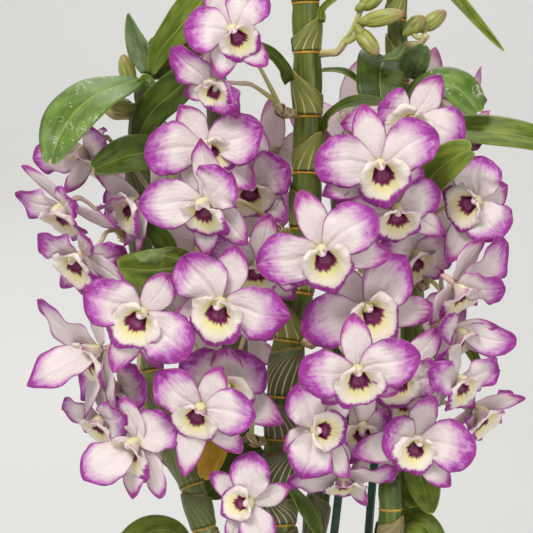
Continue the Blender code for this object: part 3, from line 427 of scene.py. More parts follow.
def shell(pile, p, thick, q, w=None, mat=0, rim=0.35, flip=False):
    """A closed sheet about the grid p (rows, columns); both sides share its outer edge.
    q's third part is set to 1 on the underside."""
    ny, nx = p.shape[:2]
    n = grid_normals(p)
    if flip:
        n = -n
    jj, ii = np.meshgrid(np.arange(nx), np.arange(ny))
    inset = np.minimum(np.minimum(ii, ny - 1 - ii), np.minimum(jj, nx - 1 - jj))
    h = np.where(inset == 0, 0.0, np.where(inset == 1, 1.0, 1.0)) * (np.asarray(thick) * 0.5)
    top = p + n * h[..., None]
    low = p - n * h[..., None]
    idx = np.arange(ny * nx).reshape(ny, nx)
    inner = inset > 0
    low_idx = idx.copy()
    low_idx[inner] = ny * nx + np.arange(inner.sum())
    verts = np.concatenate([top.reshape(-1, 3), low[inner]])
    qt = q.copy()
    qt[..., 2] = np.where(inset == 0, 0.5, 0.0)
    ql = q.copy()
    ql[..., 2] = 1.0
    qq = np.concatenate([qt.reshape(-1, 3), ql[inner]])
    ww = None if w is None else np.concatenate([w.reshape(-1, 3), w[inner]])
    faces = []
    a, b, c, d = idx[:-1, :-1].ravel(), idx[:-1, 1:].ravel(), idx[1:, 1:].ravel(), idx[1:, :-1].ravel()
    up = np.stack([a, b, c, d] if not flip else [d, c, b, a], 1)
    a, b, c, d = low_idx[:-1, :-1].ravel(), low_idx[:-1, 1:].ravel(), low_idx[1:, 1:].ravel(), low_idx[1:, :-1].ravel()
    down = np.stack([d, c, b, a] if not flip else [a, b, c, d], 1)
    faces = np.concatenate([up, down]).tolist()
    # corner cells have all four corners on the shared edge only when a side has two rows
    pile.add(verts, faces, qq, ww, mat)


def frames_along(path, first=None):
    """Directions across a path, carried along it without twist."""
    path = np.asarray(path, dtype=float)
    tan = unit(np.gradient(path, axis=0))
    seed = arr(first) if first is not None else arr((0.0, -1.0, 0.0))
    x = seed - tan[0] * seed.dot(tan[0])
    if np.linalg.norm(x) < 1e-4:
        x = np.cross(tan[0], (1.0, 0.0, 0.0))
    x = x / np.linalg.norm(x)
    xs = [x]
    for i in range(1, len(path)):
        x = xs[-1] - tan[i] * xs[-1].dot(tan[i])
        xs.append(x / max(np.linalg.norm(x), 1e-9))
    xs = np.array(xs)
    return tan, xs, np.cross(tan, xs)


def tube(pile, path, radius, sides=12, mat=0, first=None, wobble=None, tag=0.0, round_end=True, w0=None):
    """A closed tube with rounded ends. q = (around 0..1, along in metres, tag)."""
    path = np.asarray(path, dtype=float)
    radius = np.broadcast_to(np.asarray(radius, dtype=float), (len(path),)).copy()
    tan, xs, ys = frames_along(path, first)
    seg = np.concatenate([[0.0], np.cumsum(np.linalg.norm(np.diff(path, axis=0), axis=1))])
    ang = np.linspace(0, 2 * math.pi, sides, endpoint=False)
    r = radius[:, None] * np.ones(sides)
    if wobble is not None:
        r = r * wobble(seg[:, None], ang[None, :])
    ring = path[:, None] + xs[:, None] * (np.cos(ang) * r)[..., None] + ys[:, None] * (np.sin(ang) * r)[..., None]
    verts = [ring.reshape(-1, 3)]
    count = len(path)
    faces = []
    for i in range(count - 1):
        for j in range(sides):
            k = (j + 1) % sides
            faces.append((i * sides + j, i * sides + k, (i + 1) * sides + k, (i + 1) * sides + j))
    caps = count * sides
    bulge = 0.55 if round_end else 0.0
    ends = np.array([path[0] - tan[0] * radius[0] * bulge, path[-1] + tan[-1] * radius[-1] * bulge])
    verts.append(ends)
    for j in range(sides):
        k = (j + 1) % sides
        faces.append((caps, k, j))
        faces.append((caps + 1, (count - 1) * sides + j, (count - 1) * sides + k))
    q = np.zeros((count, sides, 3))
    q[..., 0] = ang / (2 * math.pi)
    q[..., 1] = seg[:, None]
    q[..., 2] = tag
    q = np.concatenate([q.reshape(-1, 3), [[0, 0, tag], [0, seg[-1], tag]]])
    w = np.zeros((len(q), 3))
    if w0 is not None:
        w[:] = w0
    pile.add(np.concatenate(verts), faces, q, w, mat)


def ball(pile, centre, axes, rx, ry, rz, mat=0, seg=12, rows=8, tag=0.0, shape=None):
    """An egg; axes are three unit vectors, the third its length. shape(t) scales the girth."""
    ax, ay, az = [arr(a) for a in axes]
    verts, q = [], []
    for i in range(1, rows):
        th = math.pi * i / rows
        t = i / rows
        k = math.sin(th) * (shape(t) if shape else 1.0)
        for j in range(seg):
            a = 2 * math.pi * j / seg
            verts.append(arr(centre) + ax * (rx * k * math.cos(a)) + ay * (ry * k * math.sin(a)) - az * (rz * math.cos(th)))
            q.append((j / seg, t, tag))
    faces = []
    for i in range(rows - 2):
        for j in range(seg):
            k = (j + 1) % seg
            faces.append((i * seg + j, i * seg + k, (i + 1) * seg + k, (i + 1) * seg + j))
    lo, hi = len(verts), len(verts) + 1
    verts += [arr(centre) - az * rz, arr(centre) + az * rz]
    q += [(0, 0, tag), (0, 1, tag)]
    for j in range(seg):
        k = (j + 1) % seg
        faces.append((lo, k, j))
        faces.append((hi, (rows - 2) * seg + j, (rows - 2) * seg + k))
    pile.add(verts, faces, q, None, mat)


def curve(points, per=6):
    return np.array([list(p) for p in smooth_path([Vector(p) for p in points], per)])


# ---------------------------------------------------------------- material tools
class Paint:
    def __init__(self, name, rough=0.5, **fixed):
        self.m = bpy.data.materials.new(name)
        self.m.use_nodes = True
        self.nt = self.m.node_tree
        self.sh = self.nt.nodes["Principled BSDF"]
        self.out = self.nt.nodes["Material Output"]
        self.sh.inputs["Roughness"].default_value = rough
        for key, val in fixed.items():
            self.sh.inputs[key.replace("_", " ")].default_value = val
        self._q = {}

    def node(self, kind, **props):
        n = self.nt.nodes.new(kind)
        for key, val in props.items():
            setattr(n, key, val)
        return n

    def put(self, sock, val):
        if isinstance(val, bpy.types.NodeSocket):
            self.nt.links.new(val, sock)
        elif isinstance(val, (tuple, list)):
            val = tuple(val)
            if sock.type == "RGBA" and len(val) == 3:
                val = (*val, 1.0)
            sock.default_value = val
        else:
            sock.default_value = val

    def math(self, op, a, b=0.0, c=0.0, clamp=False):
        n = self.node("ShaderNodeMath", operation=op, use_clamp=clamp)
        for s, v in zip(n.inputs, (a, b, c)):
            self.put(s, v)
        return n.outputs[0]

    def add(self, a, b):
        return self.math("ADD", a, b)

    def sub(self, a, b):
        return self.math("SUBTRACT", a, b)

    def mul(self, a, b):
        return self.math("MULTIPLY", a, b)

    def parts(self, label):
        if label not in self._q:
            a = self.node("ShaderNodeAttribute", attribute_name=label)
            s = self.node("ShaderNodeSeparateXYZ")
            self.nt.links.new(a.outputs["Vector"], s.inputs[0])
            self._q[label] = tuple(s.outputs)
        return self._q[label]

    def vec(self, x, y, z=0.0):
        n = self.node("ShaderNodeCombineXYZ")
        for s, v in zip(n.inputs, (x, y, z)):
            self.put(s, v)
        return n.outputs[0]

    def where(self):
        return self.node("ShaderNodeNewGeometry").outputs["Position"]

    def noise(self, vec, scale=1.0, detail=2.0, rough=0.5, warp=0.0):
        n = self.node("ShaderNodeTexNoise")
        self.put(n.inputs["Vector"], vec)
        n.inputs["Scale"].default_value = scale
        n.inputs["Detail"].default_value = detail
        n.inputs["Roughness"].default_value = rough
        n.inputs["Distortion"].default_value = warp
        return n.outputs["Fac"]

    def cells(self, vec, scale=1.0, feature="F1", out="Distance"):
        n = self.node("ShaderNodeTexVoronoi", feature=feature)
        self.put(n.inputs["Vector"], vec)
        n.inputs["Scale"].default_value = scale
        return n.outputs[out]

    def band(self, x, a, b, lo=0.0, hi=1.0):
        """Smooth step of x from a to b."""
        n = self.node("ShaderNodeMapRange", interpolation_type="SMOOTHSTEP", clamp=True)
        for key, val in (("Value", x), ("From Min", a), ("From Max", b), ("To Min", lo), ("To Max", hi)):
            self.put(n.inputs[key], val)
        return n.outputs[0]

    def ramp(self, x, stops):
        n = self.node("ShaderNodeValToRGB")
        el = n.color_ramp.elements
        while len(el) > 2:
            el.remove(el[-1])
        for i, (pos, col) in enumerate(stops):
            e = el[i] if i < 2 else el.new(pos)
            e.position = pos
            e.color = (*col, 1.0)
        self.put(n.inputs[0], x)
        return n.outputs[0]

    def mix(self, f, a, b, mode="MIX"):
        n = self.node("ShaderNodeMix", data_type="RGBA", blend_type=mode)
        self.put(n.inputs[0], f)
        self.put(n.inputs[6], a)
        self.put(n.inputs[7], b)
        return n.outputs[2]

    def color(self, col):
        self.put(self.sh.inputs["Base Color"], col)
        self._col = col

    def rough(self, val):
        self.put(self.sh.inputs["Roughness"], val)

    def bump(self, height, strength=0.3, dist=0.001):
        n = self.node("ShaderNodeBump")
        n.inputs["Strength"].default_value = strength
        n.inputs["Distance"].default_value = dist
        self.put(n.inputs["Height"], height)
        self.put(self.sh.inputs["Normal"], n.outputs[0])
        return n.outputs[0]

    def thin(self, share, col=None):
        """Light passes through a thin petal or leaf."""
        t = self.node("ShaderNodeBsdfTranslucent")
        self.put(t.inputs["Color"], col if col is not None else self._col)
        mx = self.node("ShaderNodeMixShader")
        mx.inputs[0].default_value = share
        self.nt.links.new(self.sh.outputs[0], mx.inputs[1])
        self.nt.links.new(t.outputs[0], mx.inputs[2])
        self.nt.links.new(mx.outputs[0], self.out.inputs["Surface"])


def rgb(r, g, b):
    """Linear colour of an 8-bit display colour."""
    def one(c):
        c /= 255.0
        return c / 12.92 if c <= 0.04045 else ((c + 0.055) / 1.055) ** 2.4
    return (one(r), one(g), one(b))


# ---------------------------------------------------------------- materials
def petal_paint(name, pale, soft, mid, deep):
    """q = (across -1..1, along 0..1, underside); w = (depth into the margin, seed, white share)."""
    p = Paint(name, 0.46, Specular_IOR_Level=0.35)
    s, t, under = p.parts("q")
    m, seed, fade = p.parts("w")
    shift = p.mul(seed, 37.0)
    streak = p.noise(p.vec(p.add(p.mul(s, 9.0), shift), p.mul(t, 1.6), shift), 1.0, 3.0, 0.6)
    fine = p.noise(p.vec(p.add(p.mul(s, 30.0), shift), p.mul(t, 3.5), shift), 1.0, 2.0, 0.6)
    blot = p.noise(p.vec(p.mul(s, 1.6), p.mul(t, 3.2), shift), 1.6, 3.0, 0.65)
    mottle = p.noise(p.where(), 420.0, 3.0, 0.7)
    x = p.mul(m, p.add(1.0, p.mul(p.sub(streak, 0.5), 1.1)))
    x = p.add(x, p.mul(p.sub(fine, 0.5), 0.24))
    x = p.add(x, p.mul(p.sub(mottle, 0.5), 0.75))
    x = p.add(x, p.mul(p.sub(blot, 0.5), 1.7))
    base = p.ramp(p.math("MULTIPLY", x, 0.5, clamp=True),
                  [(0.0, deep), (0.05, deep), (0.17, mid), (0.36, soft), (0.66, pale), (1.0, PETAL_WHITE)])
    # faint veins, strongest between the margin and the white
    vein = p.math("POWER", p.math("ABSOLUTE", p.math("SINE", p.add(p.mul(s, 16.0), p.mul(streak, 2.0)))), 6.0)
    vein = p.mul(vein, p.band(fine, 0.38, 0.62))
    base = p.mix(p.mul(vein, p.band(m, 3.2, 0.8, 0.04, 0.24)), base, mid)
    base = p.mix(p.mul(p.band(blot, 0.52, 0.74), 0.20), base, pale)
    # pale midrib
    rib = p.band(p.math("ABSOLUTE", p.add(s, p.mul(p.sub(blot, 0.5), 0.10))), 0.10, 0.0)
    base = p.mix(p.mul(p.mul(rib, fade), p.band(t, 0.97, 0.45, 0.0, 0.62)), base, PETAL_WHITE)
    # greenish foot
    base = p.mix(p.band(t, 0.13, 0.0, 0.0, 0.55), base, rgb(214, 212, 150))
    # the underside is duller
    base = p.mix(p.mul(under, 0.34), base, rgb(226, 196, 204))
    p.color(base)
    p.rough(p.band(fine, 0.3, 0.7, 0.40, 0.56))
    ribs = p.math("SINE", p.add(p.mul(s, 32.0), p.mul(streak, 3.0)))
    h = p.add(p.mul(ribs, 0.12), p.add(p.mul(blot, 2.6), p.mul(rib, -1.0)))
    h = p.add(h, p.mul(p.noise(p.vec(p.add(p.mul(s, 5.0), shift), p.mul(t, 7.0), shift), 1.0, 3.0, 0.65), 1.9))
    h = p.add(h, p.mul(p.noise(p.where(), 2600.0, 1.0), 0.10))
    p.bump(h, 0.42, 0.0008)
    p.thin(0.30)
    return p.m


def lip_paint():
    """q = (angle from the bottom / pi, along 0..1, outside); w = (distance in from the rim in mm, seed, -)."""
    p = Paint("lip", 0.48, Specular_IOR_Level=0.3)
    a, t, under = p.parts("q")
    rim, seed, band = p.parts("w")
    shift = p.mul(seed, 53.0)
    ring = p.vec(p.mul(p.math("COSINE", p.mul(a, math.pi)), 3.0), p.mul(p.math("SINE", p.mul(a, math.pi)), 3.0), shift)
    coarse = p.noise(ring, 1.1, 2.0, 0.6)
    rays = p.noise(p.vec(p.mul(a, 26.0), p.mul(t, 1.2), shift), 1.0, 3.0, 0.7)
    hairs = p.noise(p.vec(p.mul(a, 70.0), p.mul(t, 2.0), shift), 1.0, 2.0, 0.6)
    side = p.math("ABSOLUTE", a)
    cream = p.mix(p.band(t, 0.72, 0.50), rgb(247, 238, 226), rgb(240, 232, 168))
    low = p.mul(p.band(side, 0.42, 0.10), p.band(t, 0.84, 0.56))
    cream = p.mix(p.mul(low, 0.55), cream, rgb(238, 230, 140))
    cream = p.mix(p.mul(p.band(hairs, 0.55, 0.75), 0.16), cream, rgb(226, 190, 200))
    # maroon throat with a feathered edge
    reach = p.add(p.band(side, 0.70, 0.36, 0.10, 0.55), p.mul(p.sub(rays, 0.5), 0.11))
    reach = p.add(reach, p.mul(p.sub(hairs, 0.5), 0.16))
    reach = p.add(reach, p.mul(p.sub(coarse, 0.5), 0.22))
    dark = p.band(p.sub(t, reach), 0.030, -0.040)
    # mauve patch on the floor of the throat: partly the lip's own colour, partly a painted highlight
    inner = p.mul(p.mul(p.band(p.add(t, p.mul(p.sub(rays, 0.5), 0.2)), 0.46, 0.36), p.band(t, 0.04, 0.12)), p.band(side, 0.34, 0.16))
    tone = p.mix(p.mul(inner, 0.8), rgb(106, 4, 68), rgb(178, 108, 158))
    tone = p.mix(p.mul(p.band(rays, 0.50, 0.66), 0.5), tone, rgb(150, 40, 116))
    # magenta border on the lower rim
    width = p.mul(band, p.band(side, 0.50, 0.08, 0.16, 1.0))
    edge = p.sub(p.add(rim, p.mul(p.sub(hairs, 0.5), 2.2)), p.add(width, p.mul(p.sub(coarse, 0.5), 2.6)))
    edge = p.add(edge, p.mul(p.sub(rays, 0.5), 1.4))
    border = p.mul(p.band(edge, 1.0, -0.7), p.band(side, 0.52, 0.36))
    pinkish = p.ramp(hairs, [(0.3, rgb(150, 34, 140)), (0.5, rgb(176, 58, 168)), (0.7, rgb(196, 92, 190))])
    col = p.mix(border, cream, pinkish)
    col = p.mix(dark, col, tone)
    outer = p.mix(p.band(rim, 7.0, 0.5, 0.0, 0.9), rgb(226, 205, 200), rgb(188, 96, 176))
    col = p.mix(under, col, outer)
    p.color(col)
    pleat = p.math("SINE", p.add(p.mul(a, 42.0), p.mul(coarse, 11.0)))
    h = p.add(p.mul(pleat, p.band(t, 0.45, 0.85, 0.05, 0.26)), p.mul(hairs, 0.4))
    h = p.add(h, p.mul(p.noise(p.where(), 2200.0, 1.0), 0.25))
    p.bump(h, 0.5, 0.0008)
    p.thin(0.16)
    return p.m


def column_paint():
    """q's third part: 0 hood, 1 cap, 2 green foot."""
    p = Paint("column", 0.42, Specular_IOR_Level=0.4)
    a, t, tag = p.parts("q")
    n = p.noise(p.where(), 600.0, 2.0)
    hood = p.mix(p.band(t, 0.35, 0.95), rgb(218, 212, 166), rgb(234, 216, 212))
    col = p.mix(p.band(tag, 0.4, 0.6), hood, p.mix(n, rgb(226, 184, 206), rgb(240, 216, 226)))
    col = p.mix(p.band(tag, 1.4, 1.6), col, p.mix(n, rgb(206, 202, 142), rgb(220, 210, 172)))
    p.color(col)
    p.bump(n, 0.2, 0.0004)
    return p.m


def stem_paint():
    """q = (around, metres along, kind): 0 peduncle, 1 pedicel, 2 bract; w first part: share along."""
    p = Paint("flower_stalk", 0.5, Specular_IOR_Level=0.35)
    a, s, kind = p.parts("q")
    share, seed, _ = p.parts("w")
    n = p.noise(p.where(), 420.0, 3.0, 0.6)
    streak = p.noise(p.vec(p.mul(a, 9.0), p.mul(s, 60.0), seed), 1.0, 2.0)
    ped = p.mix(p.band(share, 0.15, 0.9), rgb(176, 178, 108), rgb(216, 182, 176))
    ped = p.mix(p.mul(p.band(n, 0.5, 0.7), 0.35), ped, rgb(192, 140, 150))
    body = p.mix(p.band(streak, 0.35, 0.60), rgb(148, 142, 78), rgb(208, 190, 150))
    bract = p.mix(p.band(streak, 0.40, 0.6), rgb(166, 146, 104), rgb(216, 200, 162))
    bract = p.mix(p.mul(p.band(n, 0.52, 0.66), 0.5), bract, rgb(120, 92, 52))
    col = p.mix(p.band(kind, 0.4, 0.6), body, ped)
    col = p.mix(p.band(kind, 1.4, 1.6), col, bract)
    p.color(col)
    p.bump(p.add(n, p.mul(streak, 0.8)), 0.3, 0.0005)
    return p.m


def leaf_paint(name, dark, light, edge, spots=0.0, sheen=0.0, pale=0.0):
    """q = (across -1..1, along 0..1, underside); w = (mm in from the edge, seed, -)."""
    p = Paint(name, 0.42, Specular_IOR_Level=0.27)
    s, t, under = p.parts("q")
    rim, seed, back_side = p.parts("w")
    shift = p.mul(seed, 41.0)
    under = p.math("MAXIMUM", under, back_side)
    lines = p.noise(p.vec(p.add(p.mul(s, 26.0), shift), p.mul(t, 1.4), shift), 1.0, 2.0, 0.55)
    patch = p.noise(p.vec(p.mul(s, 1.3), p.mul(t, 3.0), shift), 1.5, 3.0, 0.6)
    speck = p.noise(p.where(), 900.0, 2.0, 0.6)
    col = p.mix(p.band(patch, 0.32, 0.70), dark, light)
    col = p.mix(p.mul(p.band(lines, 0.48, 0.68), 0.30), col, light)
    col = p.mix(p.mul(p.band(speck, 0.56, 0.70), 0.22), col, dark)
    rib = p.band(p.math("ABSOLUTE", s), 0.05, 0.012)
    col = p.mix(p.mul(rib, 0.55), col, edge)
    col = p.mix(p.mul(p.band(rim, 0.75, 0.15), 0.75), col, edge)
    col = p.mix(p.mul(under, 0.55), col, rgb(112, 130, 82))
    if spots:
        # dried hard water: pale rings and dots
        d = p.cells(p.where(), 320.0)
        dots = p.band(d, 0.26, 0.18)
        keep = p.band(p.noise(p.where(), 190.0, 1.0), 0.56, 0.66)
        pool = p.noise(p.where(), 170.0, 2.0, 0.55)
        loop = p.band(p.math("ABSOLUTE", p.sub(pool, 0.585)), 0.026, 0.006)
        loops = p.mul(loop, p.band(p.noise(p.where(), 48.0, 1.0), 0.50, 0.60))
        mask = p.math("MAXIMUM", p.mul(p.mul(dots, keep), 0.7), p.mul(loops, 0.8))
        col = p.mix(p.mul(p.mul(mask, p.sub(1.0, under)), spots), col, rgb(206, 206, 190))
    if pale:
        film = p.band(p.noise(p.where(), 70.0, 3.0, 0.6), 0.38, 0.64)
        col = p.mix(p.mul(p.mul(film, p.sub(1.0, under)), pale), col, rgb(150, 162, 142))
    p.color(col)
    p.rough(p.band(patch, 0.3, 0.7, 0.30, 0.44))
    h = p.add(p.mul(lines, 0.7), p.mul(p.band(p.math("ABSOLUTE", s), 0.10, 0.0), -1.4))
    h = p.add(h, p.mul(speck, 0.20))
    p.bump(h, 0.35, 0.0007)
    p.thin(0.07)
    return p.m


def cane_paint(name, dark, light, sheath, fresh, vein, gold):
    """q = (around 0..1, metres along, kind): 0 bare cane, 1 sheath, 2 ring; w = (share up the piece, seed, lines)."""
    p = Paint(name, 0.30, Specular_IOR_Level=0.5, Coat_Weight=0.15, Coat_Roughness=0.2)
    a, s, kind = p.parts("q")
    share, seed, dens = p.parts("w")
    shift = p.mul(seed, 23.0)
    ring = p.vec(p.math("COSINE", p.mul(a, 2 * math.pi)), p.math("SINE", p.mul(a, 2 * math.pi)), p.mul(s, 14.0))
    patch = p.noise(ring, 2.2, 3.0, 0.6)
    speck = p.noise(p.where(), 800.0, 2.0, 0.6)
    bare = p.mix(p.band(patch, 0.34, 0.68), dark, light)
    bare = p.mix(p.mul(p.band(speck, 0.56, 0.7), 0.25), bare, dark)
    # sheath: pale veins that run up and lean round the cane
    wav = p.noise(p.vec(p.mul(a, 3.0), p.mul(s, 40.0), shift), 1.0, 2.0)
    line = p.math("ABSOLUTE", p.math("SINE", p.mul(p.add(p.mul(a, dens), p.mul(wav, 0.55)), math.pi)))
    high = p.band(dens, 12.5, 10.0)
    stripe = p.mul(p.band(line, p.add(0.89, p.mul(high, 0.06)), 1.0), p.band(share, 1.0, 0.55, 0.20, 1.0))
    fade = p.band(share, p.sub(1.3, p.mul(high, 0.5)), 0.30, 0.25, 1.0)
    stripe = p.mul(stripe, fade)
    sheath = p.mix(high, sheath, fresh)
    film = p.noise(p.vec(p.mul(a, 5.0), p.mul(s, 55.0), shift), 1.3, 3.0, 0.6)
    cloth = p.mix(p.band(film, 0.36, 0.66), sheath, p.mix(0.5, sheath, dark))
    cloth = p.mix(p.mul(stripe, 0.78), cloth, vein)
    cloth = p.mix(p.mul(p.band(share, 0.93, 1.0), 0.8), cloth, p.mix(patch, rgb(150, 116, 50), rgb(190, 160, 92)))
    knot = p.mix(p.band(speck, 0.42, 0.6), gold, p.mix(0.5, gold, rgb(96, 70, 20)))
    col = p.mix(p.band(kind, 0.4, 0.6), bare, cloth)
    col = p.mix(p.band(kind, 1.4, 1.6), col, knot)
    p.color(col)
    p.rough(p.add(p.band(kind, 0.4, 0.6, 0.27, 0.50), p.mul(patch, 0.12)))
    p.bump(p.add(p.mul(stripe, p.band(kind, 0.4, 0.6, 0.0, 0.8)), p.mul(patch, 0.5)), 0.4, 0.0005)
    return p.m


def bud_paint():
    """q = (around, along 0..1, kind)."""
    p = Paint("bud", 0.42, Specular_IOR_Level=0.4, Coat_Weight=0.08, Coat_Roughness=0.3)
    a, t, kind = p.parts("q")
    _, seed, ripe = p.parts("w")
    lines = p.noise(p.vec(p.mul(a, 26.0), p.mul(t, 2.0), seed), 1.0, 2.0)
    blot = p.noise(p.where(), 260.0, 3.0, 0.6)
    col = p.mix(p.band(lines, 0.4, 0.62), rgb(120, 128, 52), rgb(160, 162, 84))
    col = p.mix(p.mul(p.band(t, 0.45, 1.0), p.band(blot, 0.35, 0.62, 0.2, 0.75)), col, rgb(164, 112, 96))
    col = p.mix(p.mul(p.band(p.add(t, p.mul(blot, 0.3)), 0.95, 1.2), 0.6), col, rgb(160, 84, 116))
    p.color(col)
    p.bump(p.add(lines, p.mul(blot, 0.5)), 0.35, 0.0005)
    return p.m


def pot_paint():
    p = Paint("pot", 0.48, Specular_IOR_Level=0.45)
    where = p.where()
    fine = p.noise(where, 900.0, 2.0, 0.6)
    cloud = p.noise(where, 26.0, 3.0, 0.6)
    x, y, z = [None] * 3
    sep = p.node("ShaderNodeSeparateXYZ")
    p.put(sep.inputs[0], where)
    x, y, z = sep.outputs
    col = p.mix(p.band(cloud, 0.3, 0.72), rgb(150, 84, 58), rgb(170, 102, 72))
    col = p.mix(p.mul(p.band(fine, 0.5, 0.72), 0.25), col, rgb(126, 66, 44))
    dust = p.mul(p.band(z, 0.045, 0.0), p.band(p.noise(where, 60.0, 3.0, 0.6), 0.42, 0.66))
    col = p.mix(p.mul(dust, 0.45), col, rgb(196, 176, 156))
    scuff = p.band(p.noise(p.vec(p.mul(x, 160.0), p.mul(y, 160.0), p.mul(z, 900.0)), 1.0, 2.0), 0.62, 0.72)
    col = p.mix(p.mul(scuff, 0.14), col, rgb(206, 170, 148))
    p.color(col)
    p.rough(p.band(cloud, 0.3, 0.7, 0.42, 0.58))
    p.bump(p.add(p.mul(fine, 0.4), p.mul(scuff, 0.5)), 0.15, 0.0004)
    return p.m


def bark_paint():
    """q = (tone, -, kind): 0 chips, 1 packed medium below them."""
    p = Paint("bark", 0.85, Specular_IOR_Level=0.25)
    tone, _, kind = p.parts("q")
    where = p.where()
    grain = p.noise(where, 420.0, 4.0, 0.65)
    rings = p.noise(p.vec(p.mul(tone, 9.0), p.mul(grain, 1.4), 0.0), 3.0, 2.0)
    col = p.ramp(p.add(p.mul(tone, 0.6), p.mul(grain, 0.4)),
                 [(0.15, rgb(46, 27, 17)), (0.4, rgb(96, 58, 34)), (0.62, rgb(140, 92, 56)), (0.85, rgb(176, 134, 92))])
    col = p.mix(p.mul(p.band(rings, 0.5, 0.7), 0.35), col, rgb(60, 36, 22))
    p.color(col)
    p.bump(grain, 0.6, 0.0012)
    return p.m


def stake_paint():
    p = Paint("stake", 0.36, Specular_IOR_Level=0.5)
    n = p.noise(p.where(), 300.0, 3.0, 0.6)
    sep = p.node("ShaderNodeSeparateXYZ")
    p.put(sep.inputs[0], p.where())
    bands = p.band(p.math("SINE", p.mul(sep.outputs[2], 420.0)), 0.93, 0.99)
    col = p.mix(p.band(n, 0.35, 0.65), rgb(20, 56, 40), rgb(34, 78, 54))
    col = p.mix(p.mul(bands, 0.35), col, rgb(58, 96, 66))
    p.color(col)
    p.bump(p.add(n, bands), 0.2, 0.0004)
    return p.m


PETAL_WHITE = rgb(242, 233, 232)
PETAL = petal_paint("petal", rgb(232, 208, 222), rgb(216, 162, 210), rgb(192, 94, 190), rgb(166, 52, 156))
SEPAL = petal_paint("sepal", rgb(234, 214, 222), rgb(224, 174, 210), rgb(202, 108, 190), rgb(176, 66, 160))
LIP = lip_paint()
COLUMN = column_paint()
STEM = stem_paint()
LEAF = leaf_paint("leaf", rgb(44, 60, 10), rgb(76, 92, 24), rgb(126, 142, 48))
LEAF_SPOTTED = leaf_paint("leaf_spotted", rgb(70, 98, 26), rgb(108, 138, 54), rgb(158, 174, 76), spots=0.7, pale=0.14)
# painted reflection: this leaf copy's bluish grey-green stands in for light reflected off the upper side of these
# leaves
LEAF_PAINTED_REFLECTION = leaf_paint("leaf_painted_reflection", rgb(64, 86, 44), rgb(104, 124, 78), rgb(140, 158, 92))
LEAF_BRIGHT = leaf_paint("leaf_bright", rgb(72, 92, 18), rgb(118, 134, 48), rgb(166, 172, 78))
LEAF_YELLOW = leaf_paint("leaf_yellow_old", rgb(168, 126, 24), rgb(206, 168, 52), rgb(206, 180, 80))
CANE = cane_paint("cane", rgb(54, 70, 10), rgb(100, 112, 28), rgb(84, 88, 58), rgb(122, 126, 52), rgb(210, 198, 150), rgb(190, 148, 34))
CANE_PALE = cane_paint("cane_pale", rgb(94, 108, 50), rgb(132, 142, 82), rgb(94, 104, 54), rgb(112, 120, 62), rgb(140, 146, 92), rgb(188, 156, 58))
CANE_CUT = cane_paint("cane_cut", rgb(56, 78, 14), rgb(92, 114, 34), rgb(132, 116, 78), rgb(132, 116, 78), rgb(176, 158, 118), rgb(190, 150, 50))
CANE_OLD = cane_paint("cane_old", rgb(44, 54, 18), rgb(84, 92, 40), rgb(90, 88, 58), rgb(98, 96, 56), rgb(176, 160, 116), rgb(150, 112, 40))
BUD = bud_paint()
POT = pot_paint()
BARK = bark_paint()
STAKE = stake_paint()

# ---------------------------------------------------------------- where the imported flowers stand
def kd_of(node):
    co = [v.co for v in NODES[node].data.vertices]
    tree = kdtree.KDTree(len(co))
    for i, c in enumerate(co):
        tree.insert(c, i)
    tree.balance()
    return tree


def settle():
    """Finds the depth each flower was given and the bend of its stalk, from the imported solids."""
    for name, (root, fs) in SPRAYS.items():
        tree = kd_of(name)
        for f in fs:
            tips = tips_of(f)
            r, u, n = frame_of(f)
            best = None
            for stp in range(-30, 31, 2):
                spot = at(f["c"][0], f["c"][1], f["c"][2] + stp)
                miss = 0.0
                for i, key in enumerate(("SR", "PR", "D", "PL", "SL")):
                    aa, bb = math.radians(CORNERS[i]), math.radians(CORNERS[i + 1])
                    base = ((r * math.cos(aa) + u * math.sin(aa)) + (r * math.cos(bb) + u * math.sin(bb))) * (HUB_R / 2)
                    for side in (-1, 1):
                        miss += tree.find(spot + tepal_point(f, key, tips[key], base * 0.5, side, 0.95))[2]
                if best is None or miss < best[0]:
                    best = (miss, stp, spot)
            f["spot"] = best[2]
            if best[0] > 0.012:
                print("flower of", name, "is", round(best[0] * 100, 2), "mm off its solid on average")
        aim = sum((f["spot"] for f in fs), Vector()) / len(fs)
        start, d = surface_start(root, aim)
        knee = start + d * 0.010 + Vector((0, 0, 0.004))
        SPOTS[name] = (start, d, knee)
        for f in fs:
            r, u, n = frame_of(f)
            a = knee - d * 0.002
            side = n.cross(Vector((0, 0, 1)))
            side = side.normalized() if side.length > 0.1 else Vector((1, 0, 0))
            up = Vector((0, 0, 1))
            ways = [Vector((0, 0, 0.004))]
            for reach in (0.008, 0.014, 0.020, 0.027, 0.035):
                for lean in (-0.3, -1.1, 0.5):
                    for k in range(8):
                        ang = math.radians(90 + 45 * k)
                        ways.append(side * math.cos(ang) * reach + up * math.sin(ang) * reach + n * (lean * reach))
            best = None
            for way in ways:
                mid = stem_path(a, f["spot"], n, way)[1]
                got = tree.find_n(mid, 9)
                miss = sum(abs(g[2] - PEDICEL_R) for g in got)
                if best is None or miss < best[0]:
                    best = (miss, way)
            f["way"] = best[1]
            f["root"] = a


SPOTS = {}
settle()


# ---------------------------------------------------------------- flowers
def outline(key, tau, point=1.0):
    """Share along and half width share; tau 0..1 runs evenly round the outline."""
    if key[0] == "P":
        t0, foot = 0.54, 0.20
        cut = 0.52
    else:
        t0, foot = 0.50, 0.46
        cut = 0.52
    lo = tau <= cut
    x = np.clip(tau / cut, 0, 1)
    th = np.clip((tau - cut) / (1 - cut), 0, 1) * math.pi * 0.5
    t = np.where(lo, x * t0, t0 + (1 - t0) * np.sin(th))
    wide_lo = foot + (1 - foot) * np.sin(x * math.pi / 2) ** (0.85 if key[0] == "P" else 1.0)
    wide_hi = np.cos(th * 0.985) ** ((0.90 if key[0] == "P" else 1.0) * point)
    return t, np.where(lo, wide_lo, wide_hi)


